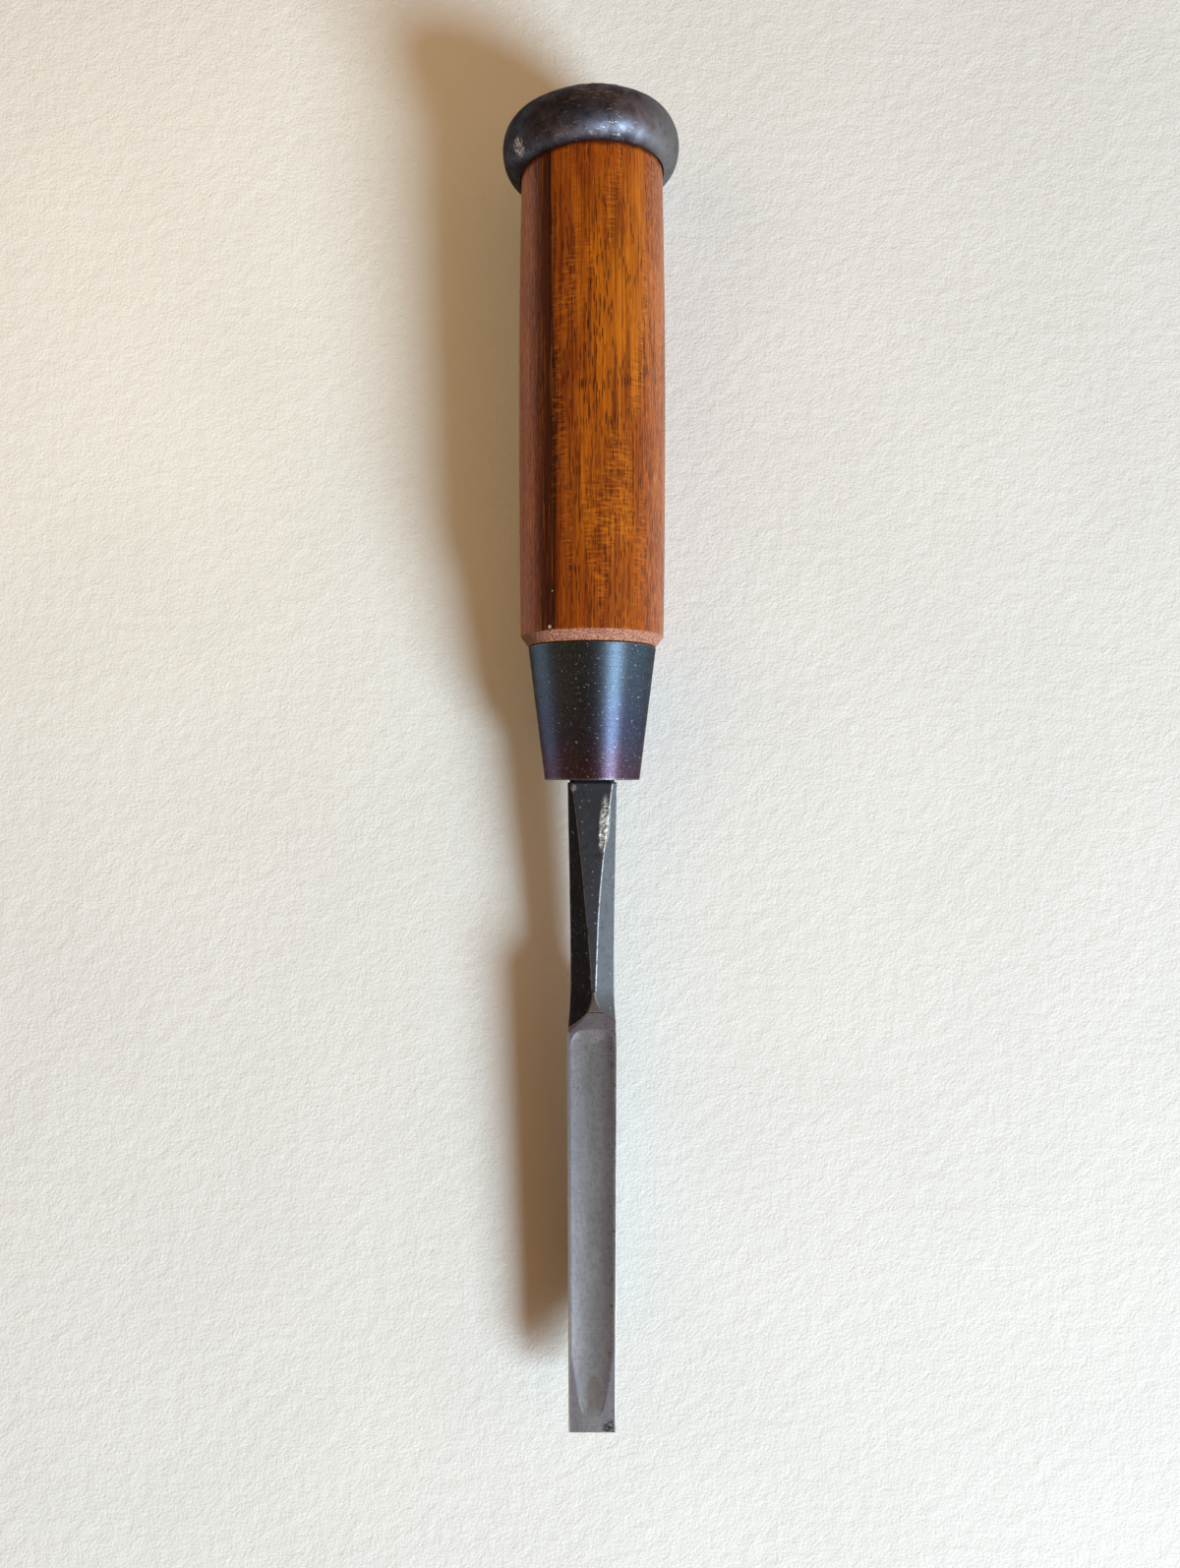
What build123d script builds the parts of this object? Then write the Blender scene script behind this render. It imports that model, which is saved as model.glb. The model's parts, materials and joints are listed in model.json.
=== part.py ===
from build123d import *
import os
from math import atan, cos, degrees, radians, sin, sqrt, tan

# A Japanese struck bench chisel (nomi) with a narrow, thick blade.
# Five pieces: the steel hoop, the wooden handle, the conical ferrule, the forged
# soft-iron body (bolster, neck, blade and tang) and the hard cutting steel that is
# forge-welded to the back of the blade.
#
# Everything is first built in the tool frame, in millimetres:
#   Y runs along the tool's axis. Y = 0 is the mouth of the ferrule, the struck end
#     is at +Y and the cutting edge at -Y.
#   Z is the way the hollow-ground back faces. X is the width of the blade.
# lay_down() then turns the assembly into the pose in which it lies on a bench, back
# up, resting on the rim of the hoop and the heel of the bevel. The floor is Z = 0.

# ---------------------------------------------------------------- blade and neck
edge_width = 9.0            # cutting edge, the nominal size of the chisel
blade_root_width = 9.65     # blade where it leaves the neck
blade_thickness = 10.4      # from the back to the front face
blade_length = 73.0         # from the cutting edge to the root of the blade
bevel_angle = 23.5          # degrees, between the back and the bevel
back_height = 4.3           # the back lies this far above the tool's axis

neck_length = 52.0          # from the ferrule's mouth to the root of the blade
neck_width = 9.5            # at the ferrule
neck_waist_width = 8.6      # at its narrowest
neck_waist_share = 0.79     # place of the waist, as a share of the neck's length
neck_depth_up = 4.65        # neck above the axis, at the ferrule
neck_depth_down = 4.7       # neck below the axis, at the ferrule
neck_waist_down = 4.45      # neck below the axis, at the waist
ridge_step = 0.15           # the neck's flat ends this much below the ground back

# The neck's flat narrows to a ridge between two slanting facets. Its half widths
# are taken on the level of the back.
flat_half_start = 4.4       # at the ferrule
flat_half_middle = 1.77     # half way along
flat_half_ridge = 0.27      # at the ridge's end
ridge_drift = 0.3           # the hand-filed ridge ends this far off the middle
ridge_end_share = 0.78      # place of the ridge's end, as a share of the neck's length
facet_slope = 45.0          # degrees, how steeply the facets fall away
run_out_radii = (8.2, 5.8)  # wheel run-outs into the blade, on the -X and +X sides
run_out_turn = 47.0         # degrees that each run-out turns before it leaves the blade
front_chamfer = 1.3         # chamfers along the front corners of the neck
front_run_out = 8.0         # radius of their run-outs

root_groove_length = 0.45   # a fine groove where the neck meets the ferrule
root_groove_depth = 0.45

# -------------------------------------------------------------- cutting steel
steel_thickness = 2.6
steel_end_gap = 7.5         # the weld reaches the back this far in front of the neck's end
scarf_length = 9.0          # length of its slanting end

hollow_depth = 0.35         # hollow of the back
hollow_land = 0.58          # flat land left along each side
hollow_edge_land = 2.9      # flat land left at the cutting edge
hollow_arch_gap = 4.2       # the hollow's arch starts this far in front of the neck's end
hollow_arch_length = 5.6    # length of the rounded end at the neck
hollow_tip_length = 12.0    # length of the tapered end at the cutting edge

# -------------------------------------------------------------- ferrule and tang
ferrule_length = 25.7
ferrule_mouth_radius = 9.25
ferrule_top_radius = 12.45
ferrule_wall = 1.6
ferrule_edge = 0.25         # chamfer of its two outer edges

bolster_length = 5.0
bolster_recess = 0.3        # the bolster's face sits this far inside the mouth
neck_in_bolster = 0.25      # the neck runs into the bolster by this share of its length
tang_length = 46.0          # beyond the bolster
tang_root = 7.0             # square section at the bolster
tang_tip = 3.2
tang_clearance = 0.15       # all round, in the handle
tang_end_room = 2.0         # spare depth of the hole

# -------------------------------------------------------------- handle and hoop
ferrule_gap = 0.15          # between the ferrule's top and the wood's shoulder
shoulder_length = 1.95      # bare chamfer at the handle's lower end
handle_length = 89.6        # from the shoulder's upper edge to the hoop
handle_low_radius = 13.9
handle_middle_radius = 14.25
handle_top_radius = 13.75

hoop_height = 10.0
hoop_outer_radius = 17.25
hoop_seat_step = 0.4        # the wood inside the hoop is this much thinner than the grip
hoop_lip_gap = 0.15         # between the wood and the lip of the hoop
hoop_lip_depth = 2.4        # depth of the flared lip
hoop_lean = 2.9             # degrees, the hoop was driven on a little out of square
hoop_bore_edge = 0.5        # chamfer of the bore at the struck end
grip_in_lip = 0.3           # the full-size grip reaches this far into the hoop's lip
wood_proud = 1.2            # the wood stands this far out of the hoop
wood_round = 1.0            # rounding of the struck edge

# -------------------------------------------------------------- worked out places
back_z = back_height
front_z = back_height - blade_thickness
blade_root_y = -neck_length
edge_y = -(neck_length + blade_length)
bevel_length = blade_thickness / tan(radians(bevel_angle))
heel_y = edge_y + bevel_length
ridge_end_y = -neck_length * ridge_end_share
waist_y = -neck_length * neck_waist_share
shoulder_low_y = ferrule_length + ferrule_gap
shoulder_high_y = shoulder_low_y + shoulder_length
hoop_low_y = shoulder_high_y + handle_length
hoop_bore_radius = handle_top_radius - hoop_seat_step
hoop_lip_radius = handle_top_radius + hoop_lip_gap
bolster_high_y = bolster_recess + bolster_length
neck_start_y = bolster_recess + bolster_length * neck_in_bolster
margin = 2.0                # how far cutters reach past what they cut
over_sweep = 1.5            # how far the hollow's ends are swept, against their length


def ferrule_outer_radius(y):
    slope = (ferrule_top_radius - ferrule_mouth_radius) / ferrule_length
    return ferrule_mouth_radius + slope * y


def ferrule_bore_radius(y):
    return ferrule_outer_radius(y) - ferrule_wall


def turned(profile_points, plane=Plane.XY):
    """Solid of revolution: points are (radius, height along the plane's Y)."""
    with BuildPart() as solid:
        with BuildSketch(plane):
            with BuildLine():
                Polyline(*profile_points, close=True)
            make_face()
        revolve(axis=Axis(plane.origin, plane.y_dir))
    return solid.part


def hoop_plane():
    """Plane through the hoop's axis; its Y is the hoop's own, leaning axis."""
    lean = radians(hoop_lean)
    return Plane(origin=(0, hoop_low_y, 0), x_dir=(cos(lean), sin(lean), 0), z_dir=(0, 0, 1))


def side_prism(points, half_width):
    """Prism across the blade; points are (Y, Z)."""
    face = make_face(Polyline(*[(0, y, z) for y, z in points], close=True))
    return extrude(face, amount=half_width, dir=(1, 0, 0), both=True)


def flared_neck_face():
    """Plan of the neck and the blade, seen from the back."""
    half_neck = neck_width / 2
    half_waist = neck_waist_width / 2
    half_root = blade_root_width / 2
    half_edge = edge_width / 2
    start_y = neck_start_y
    taper = (half_root - half_edge) / blade_length
    with BuildSketch() as plan:
        with BuildLine():
            right = Spline(
                (half_neck, start_y),
                (half_waist, waist_y),
                (half_root, blade_root_y),
                tangents=[(0, -1), (-taper, -1)],
            )
            blade_side = Line(right @ 1, (half_edge, edge_y))
            Line(blade_side @ 1, (0, edge_y))
            Line((0, edge_y), (0, start_y))
            Line((0, start_y), right @ 0)
        make_face()
        mirror(about=Plane.YZ)
    return plan.sketch


def side_profile_face():
    """Side view of the neck and the blade, in the YZ plane."""
    start_y = neck_start_y
    ridge_z = back_z - ridge_step
    up_start = Vector(0, start_y, neck_depth_up)
    ridge_end = Vector(0, ridge_end_y, ridge_z)
    land_start = Vector(0, ridge_end_y, back_z)
    edge = Vector(0, edge_y, back_z)
    heel = Vector(0, heel_y, front_z)
    front_root = Vector(0, blade_root_y, front_z)
    low_waist = Vector(0, waist_y, -neck_waist_down)
    low_start = Vector(0, start_y, -neck_depth_down)
    front = Spline(front_root, low_waist, low_start, tangents=[(0, 1, 0), (0, 1, 0)])
    outline = [
        Line(up_start, ridge_end),
        Line(ridge_end, land_start),
        Line(land_start, edge),
        Line(edge, heel),
        Line(heel, front_root),
        front,
        Line(low_start, up_start),
    ]
    return make_face(outline)


def facet_cutter(side, run_out_radius):
    """Removes one slanting facet of the neck, with its run-out into the blade.

    side is -1 or +1. The edge of the facet is drawn on the level of the back and
    swept down and outward at the facet's slope.
    """
    start_y = neck_start_y + margin
    middle_y = ridge_end_y / 2
    out_x = blade_root_width
    turn = radians(run_out_turn)
    ridge_x = flat_half_ridge + side * ridge_drift
    arc_end_x = ridge_x + run_out_radius * (1 - cos(turn))
    arc_end_y = ridge_end_y - run_out_radius * sin(turn)
    leave_x = out_x
    leave_y = arc_end_y - (leave_x - arc_end_x) / tan(turn)
    start = (side * flat_half_start, 0)
    middle = (side * flat_half_middle, middle_y)
    ridge = (side * ridge_x, ridge_end_y)
    arc_end = (side * arc_end_x, arc_end_y)
    leave = (side * leave_x, leave_y)
    with BuildSketch(Plane.XY.offset(back_z)) as plan:
        with BuildLine():
            ThreePointArc(start, middle, ridge)
            TangentArc(ridge, arc_end, tangent=(0, -1))
            Line(arc_end, leave)
            Line(leave, (side * out_x, start_y))
            Line((side * out_x, start_y), (side * flat_half_start, start_y))
            Line((side * flat_half_start, start_y), start)
        make_face()
    slope = radians(facet_slope)
    down = (side * cos(slope), 0, -sin(slope))
    above = neck_depth_up - back_z + ridge_step
    lifted = plan.sketch.moved(Location((-down[0] * above, 0, -down[2] * above)))
    return extrude(lifted, amount=blade_thickness + above, dir=down)


def front_corner_cutter(side):
    """Chamfers one front corner of the neck, with a run-out into the blade."""
    start_y = neck_start_y + margin
    corner_x = neck_waist_width / 2 - front_chamfer
    out_x = blade_root_width
    turn = radians(run_out_turn)
    arc_end_x = corner_x + front_run_out * (1 - cos(turn))
    arc_end_y = ridge_end_y - front_run_out * sin(turn)
    leave_y = arc_end_y - (out_x - arc_end_x) / tan(turn)
    with BuildSketch(Plane.XY.offset(-neck_waist_down)) as plan:
        with BuildLine():
            Polyline(
                (side * out_x, leave_y),
                (side * out_x, start_y),
                (side * corner_x, start_y),
                (side * corner_x, ridge_end_y),
            )
            TangentArc((side * corner_x, ridge_end_y), (side * arc_end_x, arc_end_y), tangent=(0, -1))
            Line((side * arc_end_x, arc_end_y), (side * out_x, leave_y))
        make_face()
    reach = blade_thickness / 2
    slope = radians(facet_slope)
    up = (side * cos(slope), 0, sin(slope))
    lowered = plan.sketch.moved(Location((-up[0] * margin, 0, -up[2] * margin)))
    return extrude(lowered, amount=reach + margin, dir=up)


def hollow_cutters():
    """The hollow of the back: a crowned wheel's straight pass and its two ends."""
    arch_y = blade_root_y + hollow_arch_gap
    straight_high_y = arch_y - hollow_arch_length
    straight_low_y = edge_y + hollow_edge_land + hollow_tip_length
    floor_z = back_z - hollow_depth

    def lens(y):
        """Section of the cut at one place: an arc as wide as the blade less its lands."""
        share = (y - edge_y) / blade_length
        half_blade = (edge_width + share * (blade_root_width - edge_width)) / 2
        half_hollow = half_blade - hollow_land
        crown = (half_hollow ** 2 + hollow_depth ** 2) / (2 * hollow_depth)
        lip_z = back_z + hollow_depth
        half_lip = sqrt(crown ** 2 - (crown - 2 * hollow_depth) ** 2)
        with BuildSketch(Plane(origin=(0, y, 0), x_dir=(-1, 0, 0), z_dir=(0, 1, 0))) as face:
            with BuildLine():
                ThreePointArc((-half_lip, lip_z), (0, floor_z), (half_lip, lip_z))
                Line((half_lip, lip_z), (-half_lip, lip_z))
            make_face()
        return face.sketch

    straight = loft([lens(straight_high_y), lens(straight_low_y)], ruled=True)

    def end(y, length, turn_sign):
        wheel = (length ** 2 + hollow_depth ** 2) / (2 * hollow_depth)
        axis = Axis((0, y, floor_z + wheel), (turn_sign, 0, 0))
        sweep_angle = degrees(atan(length * over_sweep / wheel))
        return revolve(lens(y), axis=axis, revolution_arc=sweep_angle)

    arch = end(straight_high_y, hollow_arch_length, 1)
    tip = end(straight_low_y, hollow_tip_length, -1)
    return [straight, arch, tip]


def mouth_cutter():
    """Keeps the neck's end within the bore of the ferrule's mouth."""
    high_y = neck_start_y + margin
    return turned([
        (ferrule_bore_radius(0), 0),
        (2 * neck_width, 0),
        (2 * neck_width, high_y),
        (ferrule_bore_radius(high_y), high_y),
    ])


def root_groove_cutter():
    """Square ring that thins the neck just outside the ferrule."""
    length = root_groove_length + bolster_recess
    centre_y = (bolster_recess - root_groove_length) / 2
    core_up = neck_depth_up - root_groove_depth
    core_down = neck_depth_down - root_groove_depth
    core_width = neck_width - 2 * root_groove_depth
    core = Pos(0, centre_y, (core_up - core_down) / 2) * Box(core_width, length, core_up + core_down)
    around = Pos(0, centre_y, 0) * Box(2 * neck_width, length, 2 * neck_width)
    return around - core


def forged_blank():
    """Neck and blade in one, before the two metals are told apart."""
    plan = flared_neck_face()
    lifted = plan.moved(Location((0, 0, front_z - margin)))
    blank = extrude(lifted, amount=blade_thickness + 2 * margin, dir=(0, 0, 1))
    profile = extrude(side_profile_face(), amount=blade_root_width, dir=(1, 0, 0), both=True)
    blank = blank & profile
    for side, radius in zip((-1, 1), run_out_radii):
        blank = blank - facet_cutter(side, radius)
        blank = blank - front_corner_cutter(side)
    for cutter in [mouth_cutter(), root_groove_cutter()] + hollow_cutters():
        blank = blank - cutter
    return blank


def steel_region():
    """Everything in this prism is cutting steel, the rest of the blank is iron."""
    top = back_z + margin
    weld_z = back_z - steel_thickness
    end_y = blade_root_y + steel_end_gap
    slant = scarf_length / steel_thickness
    points = [
        (edge_y - margin, weld_z),
        (end_y - scarf_length, weld_z),
        (end_y + slant * margin, top),
        (edge_y - margin, top),
    ]
    return side_prism(points, blade_root_width)


def make_tang(clearance, length):
    """Tapered square tang; the same shape, grown by clearance, is its hole."""
    def square(y, side):
        plane = Plane(origin=(0, y, 0), x_dir=(1, 0, 0), z_dir=(0, 1, 0))
        with BuildSketch(plane) as section:
            Rectangle(side + 2 * clearance, side + 2 * clearance)
        return section.sketch

    taper = (tang_root - tang_tip) / tang_length
    tip_side = tang_root - taper * length
    return loft([square(bolster_high_y, tang_root), square(bolster_high_y + length, tip_side)])


def make_iron_body(blank, steel):
    """Soft iron: bolster inside the ferrule, neck, front of the blade, and tang."""
    bolster = turned([
        (0, bolster_recess),
        (ferrule_bore_radius(bolster_recess), bolster_recess),
        (ferrule_bore_radius(bolster_high_y), bolster_high_y),
        (0, bolster_high_y),
    ])
    iron = blank - steel
    return iron + bolster + make_tang(0, tang_length)


def make_cutting_steel(blank, steel):
    return blank & steel


def make_ferrule():
    """Hollow cone, open at both ends."""
    mouth = ferrule_mouth_radius
    top = ferrule_top_radius
    return turned([
        (ferrule_bore_radius(0), 0),
        (mouth - ferrule_edge, 0),
        (ferrule_outer_radius(ferrule_edge), ferrule_edge),
        (ferrule_outer_radius(ferrule_length - ferrule_edge), ferrule_length - ferrule_edge),
        (top - ferrule_edge, ferrule_length),
        (ferrule_bore_radius(ferrule_length), ferrule_length),
    ])


def make_handle():
    """Barrel-shaped grip, cone inside the ferrule, and leaning seat in the hoop."""
    # the grip runs past the hoop's lower face and is cut there, square to the hoop
    lean_reach = hoop_outer_radius * sin(radians(hoop_lean)) + grip_in_lip
    grip_end_y = hoop_low_y + lean_reach
    with BuildPart() as body:
        with BuildSketch():
            with BuildLine():
                Polyline(
                    (0, bolster_high_y),
                    (ferrule_bore_radius(bolster_high_y), bolster_high_y),
                    (ferrule_bore_radius(ferrule_length), ferrule_length),
                    (ferrule_bore_radius(ferrule_length), shoulder_low_y),
                    (ferrule_top_radius, shoulder_low_y),
                    (handle_low_radius, shoulder_high_y),
                )
                middle_y = (shoulder_high_y + hoop_low_y) / 2
                ThreePointArc(
                    (handle_low_radius, shoulder_high_y),
                    (handle_middle_radius, middle_y),
                    (handle_top_radius, hoop_low_y),
                )
                Polyline(
                    (handle_top_radius, hoop_low_y),
                    (handle_top_radius, grip_end_y),
                    (0, grip_end_y),
                    (0, bolster_high_y),
                )
            make_face()
        revolve(axis=Axis.Y)
    plane = hoop_plane()
    cap = turned(
        [
            (0, grip_in_lip),
            (2 * hoop_outer_radius, grip_in_lip),
            (2 * hoop_outer_radius, hoop_height),
            (0, hoop_height),
        ],
        plane,
    )
    seat_end = hoop_height + wood_proud
    seat = turned(
        [
            (0, 0),
            (hoop_bore_radius, 0),
            (hoop_bore_radius, seat_end),
            (0, seat_end),
        ],
        plane,
    )
    rim = seat.edges().filter_by(GeomType.CIRCLE).sort_by(Axis(plane.origin, plane.y_dir))[-1]
    seat = fillet(rim, wood_round)
    hole = make_tang(tang_clearance, tang_length + tang_end_room)
    return body.part - cap + seat - hole


def make_hoop():
    """Ring with a half-elliptical outside and a flared lip towards the grip."""
    half_height = hoop_height / 2
    bulge = hoop_outer_radius - hoop_lip_radius
    plane = hoop_plane()
    with BuildPart() as ring:
        with BuildSketch(plane):
            with BuildLine():
                Polyline(
                    (hoop_lip_radius, hoop_height),
                    (hoop_bore_radius + hoop_bore_edge, hoop_height),
                    (hoop_bore_radius, hoop_height - hoop_bore_edge),
                    (hoop_bore_radius, hoop_lip_depth),
                    (hoop_lip_radius, 0),
                )
                EllipticalCenterArc(
                    (hoop_lip_radius, half_height), bulge, half_height, start_angle=-90, arc_size=180
                )
            make_face()
        revolve(axis=Axis(plane.origin, plane.y_dir))
    return ring.part


def resting_pitch():
    """Angle, in degrees, between the tool's axis and the floor when it lies down.

    The floor touches the bevel's heel and the hoop's elliptical section, so the
    tangent t of the angle solves (L t - a)^2 = b^2 + c^2 t^2.
    """
    c = hoop_height / 2
    b = hoop_outer_radius - hoop_lip_radius
    a = hoop_lip_radius + front_z
    length = hoop_low_y + c * cos(radians(hoop_lean)) - heel_y
    qa = length ** 2 - c ** 2
    qb = -2 * a * length
    qc = a ** 2 - b ** 2
    return degrees(atan((-qb + sqrt(qb ** 2 - 4 * qa * qc)) / (2 * qa)))


def lay_down(pieces):
    """Turn the pieces into the lying pose, with the box's bottom centre at the origin."""
    pitch = Rot(resting_pitch(), 0, 0)
    turned_pieces = {name: pitch * solid for name, solid in pieces.items()}
    boxes = [solid.bounding_box() for solid in turned_pieces.values()]
    middle_x = (min(box.min.X for box in boxes) + max(box.max.X for box in boxes)) / 2
    middle_y = (min(box.min.Y for box in boxes) + max(box.max.Y for box in boxes)) / 2
    shift = Pos(-middle_x, -middle_y, -min(box.min.Z for box in boxes))
    return {name: shift * solid for name, solid in turned_pieces.items()}


blank = forged_blank()
steel = steel_region()
pieces = {
    "hoop": make_hoop(),
    "handle": make_handle(),
    "ferrule": make_ferrule(),
    "iron_body": make_iron_body(blank, steel),
    "cutting_steel": make_cutting_steel(blank, steel),
}
os.makedirs("parts", exist_ok=True)
for name, solid in lay_down(pieces).items():
    solid.label = name
    export_step(solid, "parts/" + name + ".step")
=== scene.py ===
import json
from math import cos, pi, radians, sin, sqrt, tan

import bpy
import numpy as np
from mathutils import Matrix, Vector


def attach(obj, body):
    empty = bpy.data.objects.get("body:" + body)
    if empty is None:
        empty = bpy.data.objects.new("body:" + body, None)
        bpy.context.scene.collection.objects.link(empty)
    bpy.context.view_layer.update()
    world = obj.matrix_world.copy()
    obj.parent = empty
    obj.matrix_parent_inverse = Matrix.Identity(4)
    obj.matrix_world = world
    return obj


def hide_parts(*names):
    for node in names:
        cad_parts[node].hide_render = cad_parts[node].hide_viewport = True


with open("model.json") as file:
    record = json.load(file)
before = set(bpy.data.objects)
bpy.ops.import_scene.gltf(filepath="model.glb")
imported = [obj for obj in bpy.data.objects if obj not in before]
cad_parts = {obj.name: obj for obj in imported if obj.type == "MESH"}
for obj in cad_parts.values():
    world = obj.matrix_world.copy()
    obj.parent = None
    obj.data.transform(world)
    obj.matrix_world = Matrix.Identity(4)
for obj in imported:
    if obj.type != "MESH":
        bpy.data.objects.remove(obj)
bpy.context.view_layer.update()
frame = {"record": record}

# A Japanese struck chisel lying on pale paper, back up.
#
# Every piece is built in the tool frame, in millimetres: Y along the tool's axis with
# 0 at the ferrule's mouth and the handle at +Y, Z the way the back faces, X across.
# tool_matrix places that frame in the row's frame, from the record's mounts.
MM = 0.001

# ------------------------------------------------------------------ sizes (mm)
# The blade: cutting edge at -Y, back at the top.
EDGE_WIDTH = 9.0
ROOT_WIDTH = 9.65
BLADE_THICKNESS = 10.4
BLADE_LENGTH = 73.0
BEVEL_ANGLE = radians(23.5)
BACK_Z = 4.3
FRONT_Z = BACK_Z - BLADE_THICKNESS

# The neck, from the ferrule's mouth to the root of the blade.
NECK_LENGTH = 52.0
NECK_WIDTH = 9.5
WAIST_WIDTH = 8.6
WAIST_SHARE = 0.79
NECK_UP = 4.65
NECK_DOWN = 4.7
WAIST_DOWN = 4.45
RIDGE_STEP = 0.15
RIDGE_SHARE = 0.78
RIDGE_DRIFT = 0.3
FLAT_HALF = (4.4, 1.77, 0.27)            # half of the flat: at the ferrule, half way, at the ridge's end
RUN_OUT_RADIUS = {-1: 8.2, 1: 5.8}       # of the facets, on the -X and +X sides
RUN_OUT_TURN = radians(47.0)
FRONT_CHAMFER = 1.3
FRONT_RUN_OUT = 8.0
GROOVE_LENGTH = 0.45
GROOVE_DEPTH = 0.45

EDGE_Y = -(NECK_LENGTH + BLADE_LENGTH)
ROOT_Y = -NECK_LENGTH
WAIST_Y = -NECK_LENGTH * WAIST_SHARE
RIDGE_Y = -NECK_LENGTH * RIDGE_SHARE
HEEL_Y = EDGE_Y + BLADE_THICKNESS / tan(BEVEL_ANGLE)

# The cutting steel, welded to the iron along a plane with a slanting end.
STEEL_THICKNESS = 2.6
STEEL_END_Y = ROOT_Y + 7.5
SCARF_LENGTH = 9.0
SCARF_Y = STEEL_END_Y - SCARF_LENGTH
WELD_Z = BACK_Z - STEEL_THICKNESS

HOLLOW_DEPTH = 0.35
HOLLOW_LAND = 0.58
HOLLOW_ARCH_Y = ROOT_Y + 4.2
HOLLOW_ARCH_LENGTH = 5.6
HOLLOW_TIP_Y = EDGE_Y + 2.9
HOLLOW_TIP_LENGTH = 12.0
HOLLOW_TIP_FALL = 0.45                   # share by which the hollow shrinks towards the tip

# The ferrule, and the bolster and tang inside it.
FERRULE_LENGTH = 25.7
MOUTH_RADIUS = 9.25
FERRULE_TOP_RADIUS = 12.45
FERRULE_WALL = 1.6
BOLSTER_LOW_Y = 0.3
BOLSTER_LENGTH = 5.0
BOLSTER_HIGH_Y = BOLSTER_LOW_Y + BOLSTER_LENGTH
TANG_LENGTH = 46.0
TANG_ROOT = 7.0
TANG_TIP = 3.2
TANG_CLEARANCE = 0.15
TANG_ROOM = 2.0

# The handle and the hoop on its end.
FERRULE_GAP = 0.15
SHOULDER_LENGTH = 1.95
HANDLE_LENGTH = 89.6
HANDLE_LOW_RADIUS = 13.9
HANDLE_MIDDLE_RADIUS = 14.25
HANDLE_TOP_RADIUS = 13.75
HOOP_HEIGHT = 10.0
HOOP_OUTER = 17.25
HOOP_BORE = HANDLE_TOP_RADIUS - 0.4
HOOP_LIP = HANDLE_TOP_RADIUS + 0.15
HOOP_LIP_DEPTH = 2.4
HOOP_BORE_EDGE = 0.5
HOOP_LEAN = radians(2.9)
WOOD_PROUD = 1.2
WOOD_ROUND = 1.0
SHOULDER_LOW_Y = FERRULE_LENGTH + FERRULE_GAP
SHOULDER_HIGH_Y = SHOULDER_LOW_Y + SHOULDER_LENGTH
HOOP_LOW_Y = SHOULDER_HIGH_Y + HANDLE_LENGTH


# ------------------------------------------------------------------ the tool's place
mounts = {mount["name"]: mount for mount in frame["record"]["mounts"]}
tool_up = Vector(mounts["back_land"]["axis"]).normalized()
tool_along = -Vector(mounts["cutting_edge"]["axis"]).normalized()
tool_across = tool_along.cross(tool_up)
edge_point = Vector(mounts["cutting_edge"]["pos_m"])
tool_origin = edge_point - tool_along * EDGE_Y * MM - tool_up * BACK_Z * MM
tool_matrix = Matrix.Identity(4)
for column, axis in enumerate((tool_across, tool_along, tool_up, tool_origin)):
    for row in range(3):
        tool_matrix[row][column] = axis[row]


# ------------------------------------------------------------------ camera
# The camera hangs above the tool and looks square to its axis.
CAMERA_ACROSS = -0.42       # mm, in the tool frame
CAMERA_ALONG = -0.77
CAMERA_HEIGHT = 230.4
SENSOR = 36.0
PICTURE_SHAPE = 1200 / 1594     # width over height
LENS = SENSOR * PICTURE_SHAPE   # the lens is as long as the picture is wide

scene = bpy.context.scene
camera_data = bpy.data.cameras.new("camera")
camera_data.sensor_width = SENSOR
camera_data.lens = LENS
camera_data.clip_start = 0.01
camera = bpy.data.objects.new("camera", camera_data)
scene.collection.objects.link(camera)
camera_place = Matrix.Translation(Vector((CAMERA_ACROSS, CAMERA_ALONG, CAMERA_HEIGHT)) * MM)
camera.matrix_world = tool_matrix @ camera_place
scene.camera = camera


# ------------------------------------------------------------------ noise and curves
CELL_PRIMES = (73856093, 19349663, 83492791)
SEED_PRIME = 2654435761
MIX_PRIMES = ((15, 2246822519), (13, 3266489917))
MASK_32 = 0xFFFFFFFF
MASK_24 = 0xFFFFFF
NOISE_ORIGIN = 1000.0


def value_noise(points, seed):
    """Smooth noise in -1..1 at (n, 3) points, one lattice cell per unit."""
    cell = np.floor(points).astype(np.int64)
    part = points - cell
    part = part * part * (3 - 2 * part)
    total = np.zeros(len(points))
    for corner in np.ndindex(2, 2, 2):
        lattice = cell + np.array(corner)
        mixed = np.bitwise_xor.reduce(lattice * CELL_PRIMES, axis=1)
        mixed = (mixed ^ seed * SEED_PRIME) & MASK_32
        for shift, prime in MIX_PRIMES:
            mixed = (mixed ^ mixed >> shift) * prime & MASK_32
        value = ((mixed ^ mixed >> 16) & MASK_24) / (MASK_24 >> 1) - 1
        weight = np.ones(len(points))
        for axis in range(3):
            weight *= part[:, axis] if corner[axis] else 1 - part[:, axis]
        total += weight * value
    return total


def noise(points, size, seed):
    """value_noise on points of any shape (..., 3), with cells of the given size in mm."""
    flat = np.asarray(points, float).reshape(-1, 3) / np.asarray(size, float)
    return value_noise(flat + NOISE_ORIGIN, seed).reshape(np.shape(points)[:-1])


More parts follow.
